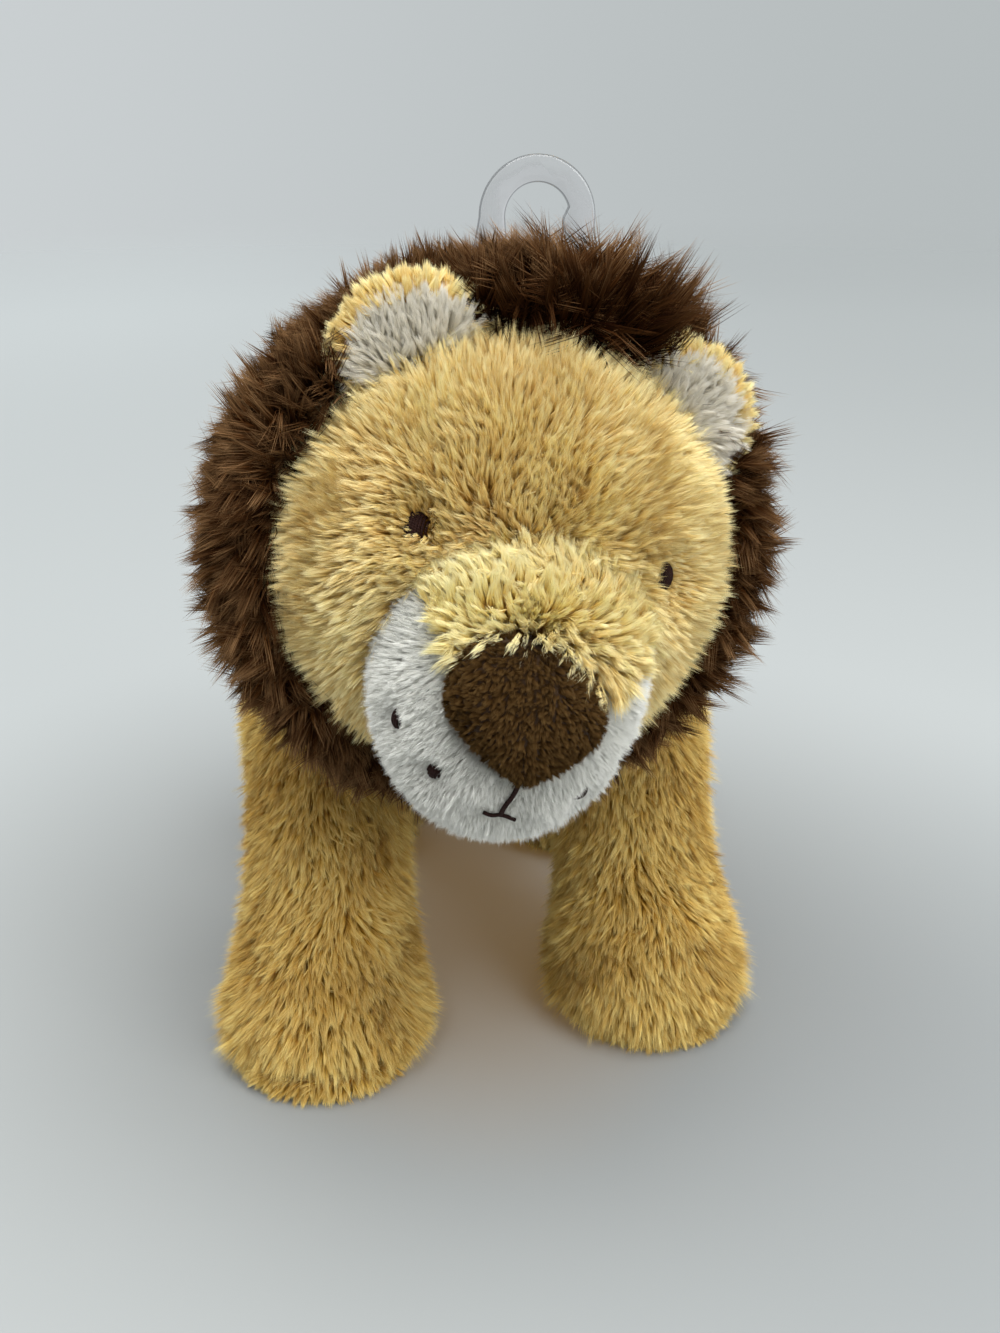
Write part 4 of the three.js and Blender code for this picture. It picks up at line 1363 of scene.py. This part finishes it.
def stitch(route, radius):
    curve = bpy.data.curves.new("stitch", "CURVE")
    curve.dimensions = "3D"
    curve.bevel_depth = radius / 1000
    curve.bevel_resolution = 3
    curve.use_fill_caps = True
    spline = curve.splines.new("BEZIER")
    spline.bezier_points.add(len(route) - 1)
    for knot, (rise, side) in zip(spline.bezier_points, route):
        knot.co = on_muzzle(rise, side, thread_height)
        knot.handle_left_type = knot.handle_right_type = "AUTO"
    pick(stand("stitch", curve))
    bpy.ops.object.convert(target="MESH")
    return bpy.context.object


pick(*[stitch(route, radius) for route, radius in ((mouth_route, 0.6), (mouth_ends, 0.5))])
bpy.ops.object.join()
mouth = bpy.context.object
mouth.name = "mouth_stitches"
smooth(mouth, 60)
dress(mouth, thread_finish, "head", ["mouth_stitch"])

# %% [markdown]
# The hang hook is a flat moulding of clear plastic. Its outline is one closed curve, filled and given a
# thickness with a rounded edge, because it is the rounded edge that catches the light.

# %% Hang hook
eye_radius, band, tip_radius = 9.8, 8, 5
foot_half, stem_height, foot_side = 10.5, 50, 3
sweep, tip_lap = 188, 25
hook_back, hook_thick = 5.45, 3
hook_eye = (20.0, 256.0)
pin_radius, pin_side, pin_height = 1.5, 3.1, 215


def arc(centre, radius, start, end, steps):
    """Points of an arc from one angle to another, in degrees."""
    return [(centre[0] + radius * math.cos(turn * degree), centre[1] + radius * math.sin(turn * degree))
            for turn in np.linspace(start, end, steps)]


hook_radius = eye_radius + band
stem_side = -(eye_radius + band / 2) - foot_side
tip = 180 - sweep
tip_centre = [(hook_radius - tip_radius) * way(tip * degree) for way in (math.cos, math.sin)]
outline = [(stem_side - foot_half, -stem_height)]
outline += arc((0, 0), hook_radius, 180, tip, 60)
outline += arc(tip_centre, tip_radius, tip, tip - 180 - tip_lap, 30)
outline += arc((0, 0), eye_radius, tip + tip_lap, 180, 50)
outline += [(stem_side + foot_half, -stem_height)]
shape = bmesh.new()
flat = shape.faces.new([
    shape.verts.new(mm(hook_eye[0] + x, hook_back + hook_thick, hook_eye[1] + z)) for x, z in outline
])
result = bmesh.ops.extrude_face_region(shape, geom=[flat])
moved = [part for part in result["geom"] if isinstance(part, bmesh.types.BMVert)]
bmesh.ops.translate(shape, verts=moved, vec=mm(0, -hook_thick, 0))
bmesh.ops.recalc_face_normals(shape, faces=shape.faces)
hook = sewn("hang_hook_plate", shape)
cut(hook, [rod("hole", pin_radius, mm(pin_side, 0, pin_height), (0, 1, 0), 20, 24)])
modify(hook, "BEVEL", width=0.0009, segments=3, limit_method="ANGLE", angle_limit=50 * degree)
smooth(hook, 35)
dress(hook, plastic_finish, "hook", ["hang_hook"])
# The edge faces take the dark grey glass: painted shade along the rounded edges.
hook.data.materials.append(edge.material)
for side in hook.data.polygons:
    side.material_index = 1 if abs(side.normal.y) < 0.8 else 0
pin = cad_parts["hook_pin"]
pin.data.materials.clear()
pin.data.materials.append(plastic_finish[1])

# %% [markdown]
# The set is one pale board that is so large that its edge can't be seen.

# %% Floor
bpy.data.objects.remove(muzzle_solid)
pick()
bpy.ops.mesh.primitive_grid_add(x_subdivisions=12, y_subdivisions=12, size=12)
board = bpy.context.object
board.name = "floor_board"
board.data.materials.append(floor_finish)

# %% [markdown]
# Soft light comes from a large panel above, a weaker one at the side and the room all round. The panels
# give light and gloss, but no view shows them. The camera sees the room as a pale wall, a little darker on
# the right, as painted shade of the room's light.


# %% Light
def panel_light(name, place, size, watts):
    data = bpy.data.lights.new(name, "AREA")
    data.shape = "RECTANGLE"
    data.size, data.size_y = size
    data.energy = watts
    light = stand(name, data)
    light.visible_camera = light.visible_transmission = False
    light.location = place
    light.rotation_euler = (Vector((0, -0.02, 0.12)) - Vector(place)).to_track_quat("-Z", "Y").to_euler()


panel_light("top_panel", (0.05, -0.4, 1.4), (1.3, 1.1), 24.5)
panel_light("side_panel", (0.9, -1.1, 0.8), (1.0, 0.6), 7.5)

world = bpy.data.worlds.new("room")
world.use_nodes = True
bpy.context.scene.world = world
room = Shader("room", world)
aside = room.parts(room.node("TexCoord", out="Generated"))[0]
# Painted shade: the room seen by the camera darkens to the right.
backdrop = room.mix(aside.fade(-0.5, 0.5), srgb(206, 211, 213), srgb(182, 188, 189))
light = room.mix(room.seen(), (0.57, 0.565, 0.555, 1), backdrop)
world.node_tree.links.new(light.out, world.node_tree.nodes["Background"].inputs["Color"])
bpy.context.scene.view_settings.view_transform = "Standard"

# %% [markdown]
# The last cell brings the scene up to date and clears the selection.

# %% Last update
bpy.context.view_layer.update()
pick()
